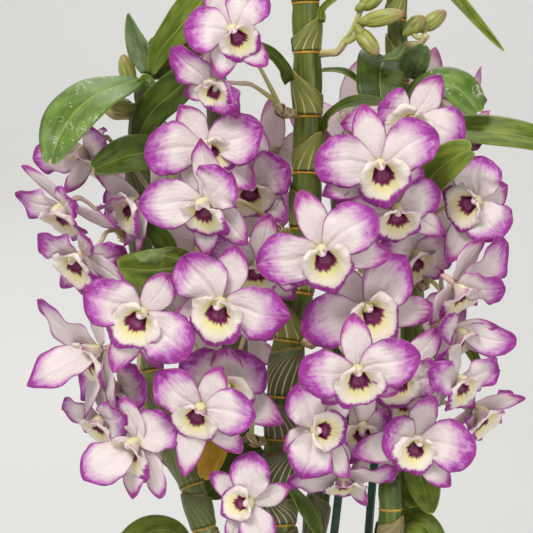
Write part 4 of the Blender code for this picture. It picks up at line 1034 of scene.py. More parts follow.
def tepal(pile, f, key, tip, rnd, rows=26, cols=17, mat=0):
    r, u, n = frame_of(f)
    petal = key[0] == "P"
    size = f["s"]
    index = ("SR", "PR", "D", "PL", "SL").index(key)
    aa = math.radians((CORNERS[index] + CORNERS[index + 1]) / 2)
    base = (r * math.cos(aa) + u * math.sin(aa)) * (0.0016 if petal else 0.0014) + n * (0.0009 if petal else -0.0011)
    axis = tip - base
    length = axis.length
    side = axis.cross(n)
    if side.length < 0.35 * length:
        side = axis.cross(u)
    side.normalize()
    face = side.cross(axis).normalized()
    if side.dot(r * axis.dot(u) - u * axis.dot(r)) < 0:
        side = -side
    if face.dot(n) < 0:
        face = -face
    tau = np.linspace(0, 1, rows)
    t, wide = outline(key, tau, rnd.uniform(1.10, 1.85))
    half = BULK[key] * size * f.get("slim", 1.0) * (1.05 if petal else 1.05) * rnd.uniform(0.94, 1.06)
    s = np.linspace(-1, 1, cols)
    T, S = np.meshgrid(t, s, indexing="ij")
    W = (wide * half)[:, None] * np.ones(cols)
    # uneven outline
    p1, p2, p3 = rnd.uniform(0, 6.28), rnd.uniform(0, 6.28), rnd.uniform(0, 6.28)
    sway = (0.13 if petal else 0.10) * np.sin(3.1 * T + p3)
    turn = np.where(S > 0, 2.2, 0.0)
    notch = 1.0 + (0.050 if petal else 0.022) * np.sin(6.1 * T + p1 + turn) + (0.026 if petal else 0.012) * np.sin(13 * T + p3 + turn * 2) \
        + (0.014 if petal else 0.006) * np.sin(31 * T + p2 - turn)
    notch = 1.0 + (notch - 1.0) * np.abs(S)
    across = S * W * notch + sway * half * np.sin(math.pi * T)
    lift = (0.060 if petal else -0.03) * length * np.sin(math.pi * np.clip(T, 0, 1))
    lift = lift - (0.060 if petal else 0.07) * length * step(T, 0.62, 1.0) * rnd.uniform(-0.4, 1.5)
    cup = rnd.uniform(-0.04, 0.12) if petal else rnd.uniform(-0.16, -0.02)
    rise = cup * W * S ** 2
    ruffle = (0.120 if petal else 0.045) * half * np.abs(S) ** 2.4 * np.sin(math.pi * np.clip(T * 1.02, 0, 1)) ** 0.5
    ruffle = ruffle * rnd.uniform(0.8, 2.0) * (np.sin(8.5 * T + p1 + np.where(S > 0, 1.9, 0.0)) + 0.6 * np.sin(18.0 * T + p2 + np.where(S > 0, 0.7, 2.2)))
    # some tips curl, some roll to one side
    ruffle = ruffle + rnd.uniform(-0.10, 0.14) * half * S * step(T, 0.45, 1.0) + rnd.uniform(-0.05, 0.10) * half * np.abs(S) * step(T, 0.3, 0.9)
    crease = -(0.0006 if petal else 0.0003) * size * np.exp(-(S / 0.10) ** 2) * np.sin(math.pi * T) ** 0.6
    veins = 0.00005 * np.cos(S * 24.0 + np.sin(6 * T + p1)) * np.sin(math.pi * T)
    veins = veins + (0.05 if petal else 0.03) * W * np.sin(3.7 * T + p2) * np.sin(2.1 * S + p3) * T
    twist = rnd.uniform(-0.20, 0.20) * T
    z = lift + rise + ruffle + crease + veins
    ca, sa = np.cos(twist), np.sin(twist)
    x2 = across * ca - (z - lift) * sa
    z2 = lift + across * sa + (z - lift) * ca
    P = arr(base) + arr(axis) * T[..., None] - arr(side) * x2[..., None] + arr(face) * z2[..., None]
    # how far inside the coloured margin each point lies
    d_side = (1 - np.abs(S)) * W
    d_tip = (1 - T) * length
    soft = 0.0022
    dist = -soft * np.log(np.exp(-d_side / soft) + np.exp(-d_tip / (soft * 1.6)))
    dist = np.maximum(dist, 0.0)
    blush = f.get("blush", 1.0) * rnd.uniform(0.70, 1.30)
    if petal:
        reach = (0.0007 + 0.0068 * step(T, 0.20, 1.0)) * size * blush
    else:
        reach = (0.0004 + 0.0030 * step(T, 0.45, 1.0)) * size * blush
    q = np.stack([S, T, np.zeros_like(T)], -1)
    w = np.stack([dist / reach, np.full_like(T, rnd.random()), np.full_like(T, 1.0 if petal else 0.5)], -1)
    shell(pile, P + arr(f["spot"]), 0.00050, q, w, mat, flip=not_facing(P, n))


def not_facing(p, n):
    g = grid_normals(p)
    return bool((g * arr(n)).sum() < 0)


def lip(pile, f, rnd, mat=2, rows=22, cols=49):
    r, u, n = frame_of(f)
    size = f["s"] * f.get("lip", 1.0) * rnd.uniform(0.97, 1.03)
    drop = math.radians(f.get("drop", 21 + rnd.uniform(-5, 9)))
    down = (n * math.cos(drop) - u * math.sin(drop)).normalized()
    low = (-u + down * down.dot(u)).normalized()
    right = r
    phi = np.linspace(-1, 1, cols) * math.radians(173)
    t = np.concatenate([np.linspace(0, 0.42, 9)[:-1], np.linspace(0.42, 1.0, rows - 8)])
    T, F = np.meshgrid(t, phi, indexing="ij")
    bottom = 0.5 + 0.5 * np.cos(F)
    sidew = np.sin(F) ** 2
    flare = 0.0124 + 0.0068 * np.maximum(np.cos(F), 0) ** 1.1 - 0.0030 * np.maximum(-np.cos(F), 0) ** 1.5 - 0.0046
    tube_r = 0.0021 + 0.0025 * step(T, 0.0, 0.46)
    open_ = step(T, 0.40, 1.0) * 0.5 + np.clip((T - 0.40) / 0.6, 0, 1) * 0.5
    R = tube_r + flare * open_
    # a small point at the lowest part of the rim
    R = R + rnd.uniform(0.0, 0.0008) * open_ ** 3 * np.exp(-(F / 0.30) ** 2)
    run = 0.0074 * np.clip(T / 0.46, 0, 1) ** 0.9 + 0.0032 * step(T, 0.40, 0.85) - 0.0026 * step(T, 0.76, 1.0) * bottom
    run = run + 0.0010 * (1 - bottom) * step(T, 0.3, 0.9)
    a, b, c = rnd.uniform(0, 6.28), rnd.uniform(0, 6.28), rnd.uniform(0, 6.28)
    edge = np.clip((T - 0.6) / 0.4, 0, 1) ** 1.5
    run = run + edge * (0.00130 * np.sin(F * 4 + a) + 0.00060 * np.sin(F * 9 + b) + 0.00026 * np.sin(F * 23 + c))
    R = R * (1 + edge * (0.055 * np.sin(F * 3 + c) + 0.032 * np.sin(F * 7 + b) + 0.014 * np.sin(F * 19 + c) + 0.009 * np.sin(F * 41 + a)))
    run = run + 0.00006 * np.sin(F * 46 + a) * step(T, 0.4, 0.7)
    # the side lobes curl in over the column
    curl = step(np.abs(F), 2.3, 3.0) * step(T, 0.3, 0.9)
    R = R * (1 - 0.10 * curl)
    run = run + 0.0006 * curl * np.sign(F)
    sidelong = np.sin(F) * R * (1.0 - 0.04 * bottom)
    P = arr(down) * (run * size)[..., None] + arr(low) * (np.cos(F) * R * size)[..., None] + arr(right) * (sidelong * size)[..., None]
    P = P - arr(down) * 0.0012 * size - arr(low) * 0.0002
    P = P + arr(f["spot"])
    rim = np.linalg.norm(P - P[-1][None], axis=-1) * 1000.0
    corner = (math.radians(166) - np.abs(F)) / math.radians(166)
    q = np.stack([F / math.pi, T, np.zeros_like(T)], -1)
    w = np.stack([rim, np.full_like(T, rnd.random()), np.full_like(T, 4.8 * size * rnd.uniform(0.75, 1.3))], -1)
    # inside of the trumpet is the face that shows its colours
    g = grid_normals(P)
    mid = P[6].mean(axis=0)
    inward = ((mid - P[6]) * g[6]).sum() > 0
    shell(pile, P, 0.00055, q, w, mat, flip=not inward)
    return down, low


def column(pile, f, rnd, mat=3):
    r, u, n = frame_of(f)
    size = f["s"]
    ahead = (n * 0.95 - u * 0.22).normalized()
    up = (u - ahead * ahead.dot(u)).normalized()
    spot = f["spot"]
    start = spot + n * 0.0002 + up * 0.0012
    path = curve([start, start + ahead * 0.0030 * size + up * 0.0006, start + ahead * 0.0054 * size + up * 0.0006,
                  start + ahead * 0.0068 * size + up * 0.0001], 3)
    k = np.linspace(0, 1, len(path))
    rad = (0.0021 + 0.0004 * np.sin(k * 3.1)) * size
    tube(pile, path, rad, 12, mat, first=up, wobble=lambda s, a: 1.0 + 0.14 * np.cos(2 * a + math.pi) + 0.10 * (np.cos(a) > 0), tag=0.0)
    tip = start + ahead * 0.0074 * size - up * 0.0004
    ball(pile, tip, (r, up, ahead), 0.0018 * size, 0.0014 * size, 0.0015 * size, mat, 12, 8, tag=1.0)
    # green foot where the sheets meet, and the bump behind the lip
    ball(pile, spot - n * 0.0030 - u * 0.0022, (r, n, -u), 0.0020 * size, 0.0026 * size, 0.0042 * size, mat, 12, 8, tag=2.0)


def pedicel(pile, f, rnd, mat=4):
    r, u, n = frame_of(f)
    pts = stem_path(f["root"], f["spot"], n, f["way"])
    pts = [pts[0], pts[0].lerp(pts[1], 0.5) + Vector((0, 0, 0.0006)), pts[1], pts[1].lerp(pts[2], 0.55) + (pts[2] - pts[3]) * 0.12,
           pts[2], f["spot"] - n * 0.0016]
    path = curve(pts, 6)
    k = np.linspace(0, 1, len(path))
    rad = 0.00105 + 0.00022 * np.sin(k * 9 + rnd.random()) ** 2 + 0.0007 * step(k, 0.72, 1.0)
    ring = len(path)
    sides = 10
    tan, xs, ys = frames_along(path)
    before = pile.n
    tube(pile, path, rad, sides, mat, tag=1.0)
    w = np.zeros((pile.n - before, 3))
    w[:ring * sides, 0] = np.repeat(k, sides)
    w[-1, 0] = 1.0
    w[:, 1] = rnd.random()
    pile.w[-1] = w


def flower(name, node, f, seed, fine=True):
    rnd = random.Random(seed)
    tips = tips_of(f)
    pile = Pile()
    rows, cols = (26, 17) if fine else (18, 13)
    for key in ("D", "SR", "SL"):
        tepal(pile, f, key, tips[key], rnd, rows, cols, 1)
    for key in ("PR", "PL"):
        tepal(pile, f, key, tips[key], rnd, rows + 4 if fine else rows, cols + 4 if fine else cols, 0)
    lip(pile, f, rnd, 2, 22 if fine else 16, 49 if fine else 33)
    column(pile, f, rnd)
    pedicel(pile, f, rnd)
    return pile.make(name, [PETAL, SEPAL, LIP, COLUMN, STEM], replaces=node)


def stalk(name, node, start, d, knee, seed):
    """The short jointed stalk that a cluster of flowers grows from, with papery bracts."""
    rnd = random.Random(seed)
    pile = Pile()
    foot = start - d * 0.0072
    end = knee + (knee - start).normalized() * 0.0006
    path = curve([foot, start, start + d * 0.005, end], 5)
    k = np.linspace(0, 1, len(path))
    tube(pile, path, 0.00195 + 0.00035 * (1 - k) + 0.0003 * np.exp(-((k - 0.97) / 0.06) ** 2), 12, 0, tag=0.0)
    for b, (lo, hi) in enumerate(((0.24, 0.56), (0.50, 0.86))):
        i0, i1 = int(lo * (len(path) - 1)), int(hi * (len(path) - 1)) + 1
        sub = curve([path[i0], path[(i0 + i1) // 2], path[i1]], 4)
        tan, xs, ys = frames_along(sub)
        ang = np.linspace(-1, 1, 17) * math.radians(158) + rnd.uniform(0, 6.28)
        tt = np.linspace(0, 1, len(sub))
        T, A = np.meshgrid(tt, ang, indexing="ij")
        R = 0.0024 + 0.0006 * T + 0.0005 * T * np.sin(A * 2 + b)
        reach = np.clip(T * (0.86 + 0.2 * np.cos(A - ang.mean())), 0, 1)
        x = reach * (len(sub) - 1)
        i = np.clip(np.floor(x).astype(int), 0, len(sub) - 2)
        fr = (x - i)[..., None]
        c = sub[i] * (1 - fr) + sub[i + 1] * fr
        P = c + xs[i] * (np.cos(A) * R)[..., None] + ys[i] * (np.sin(A) * R)[..., None]
        q = np.stack([A / 6.28, T * 0.01, np.zeros_like(T)], -1)
        before = len(pile.q)
        shell(pile, P, 0.0004, q, None, 0)
        pile.q[-1][:, 2] = 2.0
    pile.w[-1][:, 1] = rnd.random()
    return pile.make(name, [STEM], replaces=node)


# how far a lip hangs (degrees), its size and how strong the colour of the margin is, where they differ
TONE = {
    ("spray_top_left", 0): dict(drop=40, lip=0.86, blush=0.9), ("spray_top_left", 1): dict(drop=34, lip=0.82, blush=1.0),
    ("spray_upper_left", 0): dict(lip=0.78, drop=30, blush=0.9), ("spray_mid_left", 0): dict(drop=32, lip=0.92, blush=0.85),
    ("spray_bottom", 0): dict(blush=0.5, lip=0.74), ("spray_far_right_upper", 0): dict(drop=36, lip=0.90, blush=0.8),
    ("spray_far_right_top", 0): dict(blush=0.85), ("spray_low_left", 0): dict(drop=34, blush=0.9),
    ("spray_far_right_lowest", 0): dict(lip=0.9, blush=1.05), ("spray_far_right_lowest", 1): dict(lip=1.1, blush=0.9),
    ("spray_low_right", 0): dict(lip=0.86, blush=0.75), ("spray_low_right", 1): dict(blush=0.7),
    ("spray_mid_right", 1): dict(lip=0.95, blush=1.1), ("spray_middle_right", 0): dict(blush=1.15),
    ("spray_middle_left", 0): dict(blush=1.1), ("spray_far_left_low", 0): dict(blush=0.6, drop=30),
    ("spray_far_left_low", 1): dict(blush=0.65), ("spray_far_left_top", 1): dict(blush=0.6),
    ("spray_far_left_upper", 0): dict(blush=0.7), ("spray_far_right_middle", 0): dict(blush=0.8),
}
for (node, i), more in TONE.items():
    SPRAYS[node][1][i].update(more)

count = 0
for node, (root, fs) in SPRAYS.items():
    start, d, knee = SPOTS[node]
    back = node.startswith("spray_back")
    stalk(node + "_stalk", node, start, d, knee, 900 + count)
    for i, f in enumerate(fs):
        count += 1
        flower("%s_flower_%d" % (node, i + 1), node, f, 100 + count, fine=not back)


# ---------------------------------------------------------------- leaves
def blade(pile, points, half, face, rnd, notch=0.35, fold=0.16, wave=0.5, foot=0.34, blunt=2.0, widest=0.5, back_side=0.0, grow=1.0,
          slant=0.0):
    """One strap of leaf along the points, widest at the share `widest`, blunt above 2 for a squarer end."""
    pts = [at(*p) for p in points]
    path = curve(pts, 9 if len(pts) > 3 else 13)
    face = Vector(face).normalized()
    seg = np.concatenate([[0.0], np.cumsum(np.linalg.norm(np.diff(path, axis=0), axis=1))])
    length = seg[-1]
    rows = 34
    tau = np.linspace(0, 1, rows)
    t = np.where(tau < 0.55, tau / 0.55 * 0.5, 0.5 + 0.5 * np.sin((tau - 0.55) / 0.45 * math.pi / 2))
    P0 = np.stack([np.interp(t * length, seg, path[:, k]) for k in range(3)], -1)
    tan = unit(np.gradient(P0, axis=0))
    sides, ups = [], []
    for i in range(rows):
        s = np.cross(tan[i], arr(face))
        if np.linalg.norm(s) < 0.15:
            s = np.cross(tan[i], (0, 0, 1.0))
        s = s / np.linalg.norm(s)
        sides.append(s)
        ups.append(np.cross(s, tan[i]))
    sides, ups = np.array(sides), np.array(ups)
    cols = 17
    s = np.linspace(-1, 1, cols)
    lo = np.clip(t / widest, 0, 1)
    hi = np.clip((t - widest) / (1.012 - widest), 0, 1)
    wide = np.where(t < widest, foot + (1 - foot) * np.sin(math.pi * lo / 2) ** 0.9,
                    np.clip(1 - hi ** blunt, 0, 1) ** (1 / blunt))
    T, S = np.meshgrid(t, s, indexing="ij")
    W = (wide * half * grow * GRID)[:, None] * np.ones(cols)
    p1, p2 = rnd.uniform(0, 6.28), rnd.uniform(0, 6.28)
    across = S * W * (1 + 0.02 * np.sin(11 * T + p1))
    rise = np.abs(S) * W * fold + wave * 0.0011 * np.abs(S) ** 2 * np.sin(8 * T + p1 + np.where(S > 0, 2.0, 0.0)) * np.sin(math.pi * T)
    rise = rise - 0.0004 * np.exp(-(S / 0.09) ** 2) * np.sin(math.pi * T) ** 0.5
    # the tip is notched, one lobe longer than the other
    back = notch * 0.0030 * np.exp(-((S - 0.12) / 0.30) ** 2) * step(T, 0.90, 1.0)
    back = back - slant * (0.5 - 0.5 * S) * (1 - step(T, 0.0, 0.9))
    P = P0[:, None] - tan[:, None] * back[..., None] + sides[:, None] * across[..., None] + ups[:, None] * rise[..., None]
    d = np.minimum((1 - np.abs(S)) * W, (1 - T) * length) * 1000.0
    q = np.stack([S, T, np.zeros_like(T)], -1)
    w = np.stack([d, np.full_like(T, rnd.random()), np.full_like(T, back_side)], -1)
    g = grid_normals(P)
    shell(pile, P, 0.0008, q, w, 0, flip=bool((g * ups[:, None]).sum() < 0))


# extra straps of the same leaf: its foot round the cane, or a part that folds over
PARTS = {
    "leaf_upper_left": [dict(points=[(150, 76, 0), (166, 66, -4), (186, 50, -8), (212, 26, -10)], half=15, face=(0.4, -1, 0.2),
                             foot=0.3, notch=0.0)],
    "leaf_arching": [dict(points=[(148, 110, 2), (150, 96, -3), (147, 85, -6), (139, 78, -9)], half=9, face=(-0.5, -1, 0.1),
                          foot=0.8, blunt=4.0, fold=-0.2, notch=0.0)],
    "leaf_upright": [dict(points=[(146, 74, 6), (149, 60, 8), (152, 48, 9), (155, 37, 10)], half=7, face=(0.3, -1, 0.1), foot=0.6,
                          notch=0.0)],
    "leaf_folded_left": [dict(points=[(152, 249, -47), (153, 254, -50), (155, 260, -50), (156, 267, -47)], half=22,
                              face=(0, -1, 0.7), foot=1.0, widest=0.05, blunt=1.15, fold=-0.10, notch=0.0, back_side=1.0),
                         dict(points=[(196, 262, -30), (186, 257, -40), (174, 253, -46), (158, 252, -48)], half=7,
                              face=(0, -1, 0.4), foot=0.5, notch=0.0)],
    "leaf_face_on": [dict(points=[(376, 61, -16), (386, 58, -18), (396, 55, -19), (405, 43, -17)], half=5, face=(0, -1, 0.8),
                          foot=0.5, notch=0.0, back_side=1.0)],
    "leaf_low_right": [dict(points=[(409, 468, 0), (411, 482, -5), (413, 496, -8), (416, 507, -10)], half=12, face=(0, -1, 0.2),
                            foot=0.9, blunt=3.0, fold=0.06, notch=0.2)],
    "leaf_lowest_right": [dict(points=[(408, 502, 4), (413, 514, 0), (418, 526, -3), (423, 544, -4)], half=15, face=(0, -1, 0.3),
                               foot=0.8, blunt=2.6, fold=0.06, notch=0.3)],
    "leaf_main_right": [dict(points=[(322, 70, -2), (336, 70, -6), (350, 74, -8), (366, 88, -6)], half=4, face=(0, -0.8, 0.7),
                             foot=0.7, notch=0.0)],
}


def leaf(name, node, points, half, face, mat, seed, **form):
    rnd = random.Random(seed)
    pile = Pile()
    blade(pile, points, half, face, rnd, **form)
    for more in PARTS.get(node, ()):
        blade(pile, rnd=rnd, **more)
    return pile.make(name, [mat], replaces=node)


LOOK = {
    "leaf_arching": (LEAF_SPOTTED, dict(notch=1.0, widest=0.52, fold=0.08, blunt=1.8, grow=1.22, foot=0.22)),
    "leaf_spotted": (LEAF_SPOTTED, dict(notch=0.3, widest=0.5, fold=0.10, blunt=2.2)),
    "leaf_upright": (LEAF_PAINTED_REFLECTION, dict(notch=0.2, foot=0.5, widest=0.35, blunt=1.35)),
    "leaf_upper_left": (LEAF_BRIGHT, dict(notch=0.2, foot=0.2)), "leaf_front_right": (LEAF_BRIGHT, dict(notch=0.5, fold=0.10, blunt=2.6, widest=0.55, grow=1.15)),
    "leaf_folded_left": (LEAF_BRIGHT, dict(notch=0.2, blunt=2.8, fold=0.05, widest=0.6)),
    "leaf_long_right": (LEAF_BRIGHT, dict(notch=0.3, foot=0.7, blunt=2.6)), "leaf_yellow": (LEAF_YELLOW, dict(notch=0.3)),
    "leaf_face_on": (LEAF, dict(notch=0.1, foot=0.90, widest=0.35, blunt=5.0, fold=0.03, slant=0.0095)),
    "leaf_top_right": (LEAF_BRIGHT, dict(notch=0.3, foot=0.8, widest=0.3, blunt=1.6)),
    "leaf_low_left": (LEAF_BRIGHT, dict(notch=0.4)), "leaf_round_right": (LEAF_PAINTED_REFLECTION, dict(notch=0.3, foot=0.7, widest=0.4)),
    "leaf_front_left": (LEAF, dict(notch=0.3, blunt=2.2, widest=0.45, fold=0.10)),
    "leaf_main_left": (LEAF, dict(notch=0.3, foot=0.6)), "leaf_main_right": (LEAF, dict(notch=0.3, foot=0.6, grow=1.2)),
    "leaf_main_upper": (LEAF_BRIGHT, dict(notch=0.3, foot=0.6)), "leaf_dark_left": (LEAF, dict(notch=0.4, grow=1.1)),
    "leaf_right_low": (LEAF_BRIGHT, dict(notch=0.1, blunt=1.4)),
    "leaf_low_right": (LEAF_BRIGHT, dict(notch=0.2, widest=0.4, blunt=1.7, grow=1.15)),
    "leaf_lowest_right": (LEAF_BRIGHT, dict(notch=0.3, widest=0.4)),
}
for i, (node, (points, half, face)) in enumerate(LEAVES.items()):
    mat, form = LOOK.get(node, (LEAF, dict(notch=0.5)))
    leaf(node + "_blade", node, points, half, face, mat, 300 + i, **form)


# ---------------------------------------------------------------- canes
def cane(name, node, points, share, mat, nodes_at, seed, top_cut=False, lean=0):
    """A jointed cane: rings at each node, papery sheaths from each ring upward."""
    rnd = random.Random(seed)
    pile = Pile()
    pts = [at(*p) for p in points]
    path = curve(pts, 14)
    seg = np.concatenate([[0.0], np.cumsum(np.linalg.norm(np.diff(path, axis=0), axis=1))])
    length = seg[-1]
    n = int(length / 0.0036)
    sN = np.linspace(0, length, n)
    P = np.stack([np.interp(sN, seg, path[:, k]) for k in range(3)], -1)
    # node heights: where the path crosses the given rows of the grid
    rows_v = np.array([MID - (p[2] - EYE.z) / (GRID * (p[1] - EYE.y) / -EYE.y) for p in P])
    marks = []
    for v in nodes_at:
        i = int(np.argmin(np.abs(rows_v - v)))
        marks.append(sN[i])
    marks = np.array(sorted(marks))
    k = sN / length
    rad = CANE_R * share * (1 - 0.22 * k ** 2)
    lows = np.concatenate([[0.0], marks])
    highs = np.concatenate([marks, [length]])
    part = np.clip(np.searchsorted(marks, sN, side="right"), 0, len(marks))
    frac = (sN - lows[part]) / np.maximum(highs[part] - lows[part], 1e-6)
    rad = rad * (0.97 + 0.15 * np.sin(math.pi * np.clip(frac, 0, 1) ** 1.35))
    for m in marks:
        rad = rad + 0.00040 * bell(sN, m, 0.0018)
    ang_n = 26
    tan, xs, ys = frames_along(P, (0.0, -1.0, 0.0))
    before = pile.n
    tube(pile, P, rad, ang_n, 0, first=(0.0, -1.0, 0.0), round_end=not top_cut, tag=0.0,
         wobble=lambda s, a: 1 + 0.022 * np.sin(5 * a + s * 18) + 0.014 * np.sin(9 * a - s * 11))
    pile.w[-1][:, 1] = rnd.random()

    def body(s0):
        return np.array([np.interp(s0, sN, P[:, c]) for c in range(3)]), \
            unit(np.array([np.interp(s0, sN, xs[:, c]) for c in range(3)])), \
            unit(np.array([np.interp(s0, sN, ys[:, c]) for c in range(3)])), float(np.interp(s0, sN, rad))

    for m in marks:
        rows = []
        for ds, grow in ((-0.0007, 0.0), (-0.0004, 0.00030), (0.0, 0.00042), (0.0004, 0.00030), (0.0007, 0.0)):
            c, x, y, rr = body(m + ds)
            rows.append((c, x, y, rr * 1.01 + grow))
        ang = np.linspace(0, 2 * math.pi, ang_n, endpoint=False)
        verts = np.array([[c + x * math.cos(a) * rr + y * math.sin(a) * rr for a in ang] for c, x, y, rr in rows])
        inner = np.array([[c + x * math.cos(a) * (rr - 0.0009) + y * math.sin(a) * (rr - 0.0009) for a in ang]
                          for c, x, y, rr in (rows[-1], rows[0])])
        full = np.concatenate([verts, inner])
        faces = []
        R = len(full)
        for i in range(R):
            for j in range(ang_n):
                i2, j2 = (i + 1) % R, (j + 1) % ang_n
                faces.append((i * ang_n + j, i * ang_n + j2, i2 * ang_n + j2, i2 * ang_n + j))
        q = np.zeros((R * ang_n, 3))
        q[:, 0] = np.tile(ang / 6.2832, R)
        q[:, 1] = m
        q[:, 2] = 2.0
        pile.add(full, faces, q, np.full((R * ang_n, 3), rnd.random()), 0)
    # sheaths
    ends = list(marks[1:]) + [length]
    for i, m in enumerate(marks):
        gap = ends[i] - m
        if gap < 0.006:
            continue
        high = float(np.interp(m, sN, rows_v)) < 385 and mat is CANE
        if top_cut and i == len(marks) - 1:
            continue
        reach = min(gap - 0.0026, gap * (rnd.uniform(0.70, 0.84) if high else rnd.uniform(0.86, 0.97)))
        slant = (rnd.uniform(0.26, 0.36) if high else rnd.uniform(0.08, 0.16)) * reach
        peak = (-0.5 if (i + lean) % 2 else 0.5) * math.pi + rnd.uniform(-0.4, 0.4)
        dens = 9.0 if high else 13.5
        turn = peak + math.pi + math.radians(4)
        a_n, t_n = 35, 12
        ang = np.linspace(0, 1, a_n) * math.radians(352) + turn
        tt = np.linspace(0, 1, t_n)
        T, A = np.meshgrid(tt, ang, indexing="ij")
        top = reach - slant + slant * np.cos(A - peak) + 0.00035 * np.sin(A * 5 + i) + 0.00018 * np.sin(A * 17 + i * 2)
        s_at = np.clip(m + 0.0008 + T * top, 0, length)
        C = np.stack([np.interp(s_at, sN, P[:, c]) for c in range(3)], -1)
        X = unit(np.stack([np.interp(s_at, sN, xs[:, c]) for c in range(3)], -1))
        Y = unit(np.stack([np.interp(s_at, sN, ys[:, c]) for c in range(3)], -1))
        R = np.interp(s_at, sN, rad) * (1.012 + 0.045 * np.sin(math.pi * T ** 1.2)) + 0.00030 + 0.00030 * T ** 3 * (0.6 + 0.6 * np.sin(A * 3 + i))
        lap = np.clip((A - turn) / math.radians(352), 0, 1)
        R = R + 0.00045 * lap
        Q = C + X * (np.cos(A) * R)[..., None] + Y * (np.sin(A) * R)[..., None]
        away = (A - peak - 2 * math.pi) / 6.2832
        q = np.stack([away / (1 - 0.66 * T ** 1.6), s_at, np.zeros_like(T)], -1)
        w = np.stack([T, np.full_like(T, rnd.random()), np.full_like(T, dens)], -1)
        g = grid_normals(Q)
        out = Q - C
        before = len(pile.q)
        shell(pile, Q, 0.00028, q, w, 0, flip=bool((g * out).sum() < 0))
        pile.q[-1][:, 2] = 1.0
    return pile.make(name, [mat], replaces=node)


RINGS = {
    "cane_main": [-95, -46, 6, 55, 115, 174, 232, 290, 342, 395, 440, 485, 526, 566, 604, 640, 672, 700],
    "cane_left": [104, 150, 205, 262, 318, 372, 428, 486, 530, 572, 612, 648, 682, 710],
    "cane_right": [-30, 24, 82, 140, 200, 258, 316, 372, 424, 474, 520, 566, 608, 646, 680, 706],
    "cane_cut_stub": [512, 556, 598, 640, 676, 704],
    "cane_old_left": [90, 150, 212, 270, 328, 380, 430, 478, 524, 568, 610, 648, 680, 708],
    "cane_old_right": [172, 232, 290, 346, 398, 446, 492, 534, 576, 614, 650, 682, 708],
}
for i, (node, (points, share)) in enumerate(CANES.items()):
    cane(node + "_stem", node, points, share,
         {"cane_left": CANE_PALE, "cane_main": CANE, "cane_right": CANE, "cane_cut_stub": CANE_CUT}.get(node, CANE_OLD),
         RINGS[node], 500 + i, top_cut=node == "cane_cut_stub")


# ---------------------------------------------------------------- buds
def bud_cluster(name, node, root, buds, seed):
    rnd = random.Random(seed)
    pile = Pile()
    aim = sum((at(*b[0]) for b in buds), Vector()) / len(buds)
    start, d = surface_start(root, aim)
    knee = start + d * 0.010 + Vector((0, 0, 0.004))
    path = curve([start - d * 0.0072, start, start + d * 0.005, knee], 5)
    tube(pile, path, np.linspace(0.0021, 0.0018, len(path)), 12, 1, tag=0.0)
    for a, b in buds:
        a, b = at(*a), at(*b)
        axis = b - a
        stem = curve([knee - d * 0.002, knee.lerp(a, 0.5) + Vector((0, 0, -0.002)), a + axis * 0.10], 6)
        tube(pile, stem, 0.00115 + 0.0004 * np.linspace(0, 1, len(stem)) ** 3, 10, 1, tag=1.0)
        pile.w[-1][:, 0] = 0.1
        z = axis.normalized()
        x = z.cross(Vector((0, -1, 0.1))).normalized()
        y = z.cross(x)
        ball(pile, (a + b) / 2, (x, y, z), 0.0050, 0.0044, axis.length / 2, 0, 16, 12, tag=0.0,
             shape=lambda t: 1.06 - 0.35 * t)
        pile.w[-1][:, 1] = rnd.random()
        pile.w[-1][:, 2] = rnd.random()
        # small chin at the foot of the bud
        ball(pile, a + axis * 0.10 - y * 0.0018, (x, y, z), 0.0024, 0.0026, 0.0042, 0, 12, 8, tag=0.0)
    return pile.make(name, [BUD, STEM], replaces=node)


for i, (node, (root, buds)) in enumerate(BUDS.items()):
    bud_cluster(node + "_cluster", node, root, buds, 700 + i)

# ---------------------------------------------------------------- pot, medium, stakes keep their CAD shape
for node, mat in (("pot", POT), ("stake_left", STAKE), ("stake_right", STAKE), ("bark_medium", BARK)):
    ob = NODES[node]
    ob.data.materials.clear()
    ob.data.materials.append(mat)


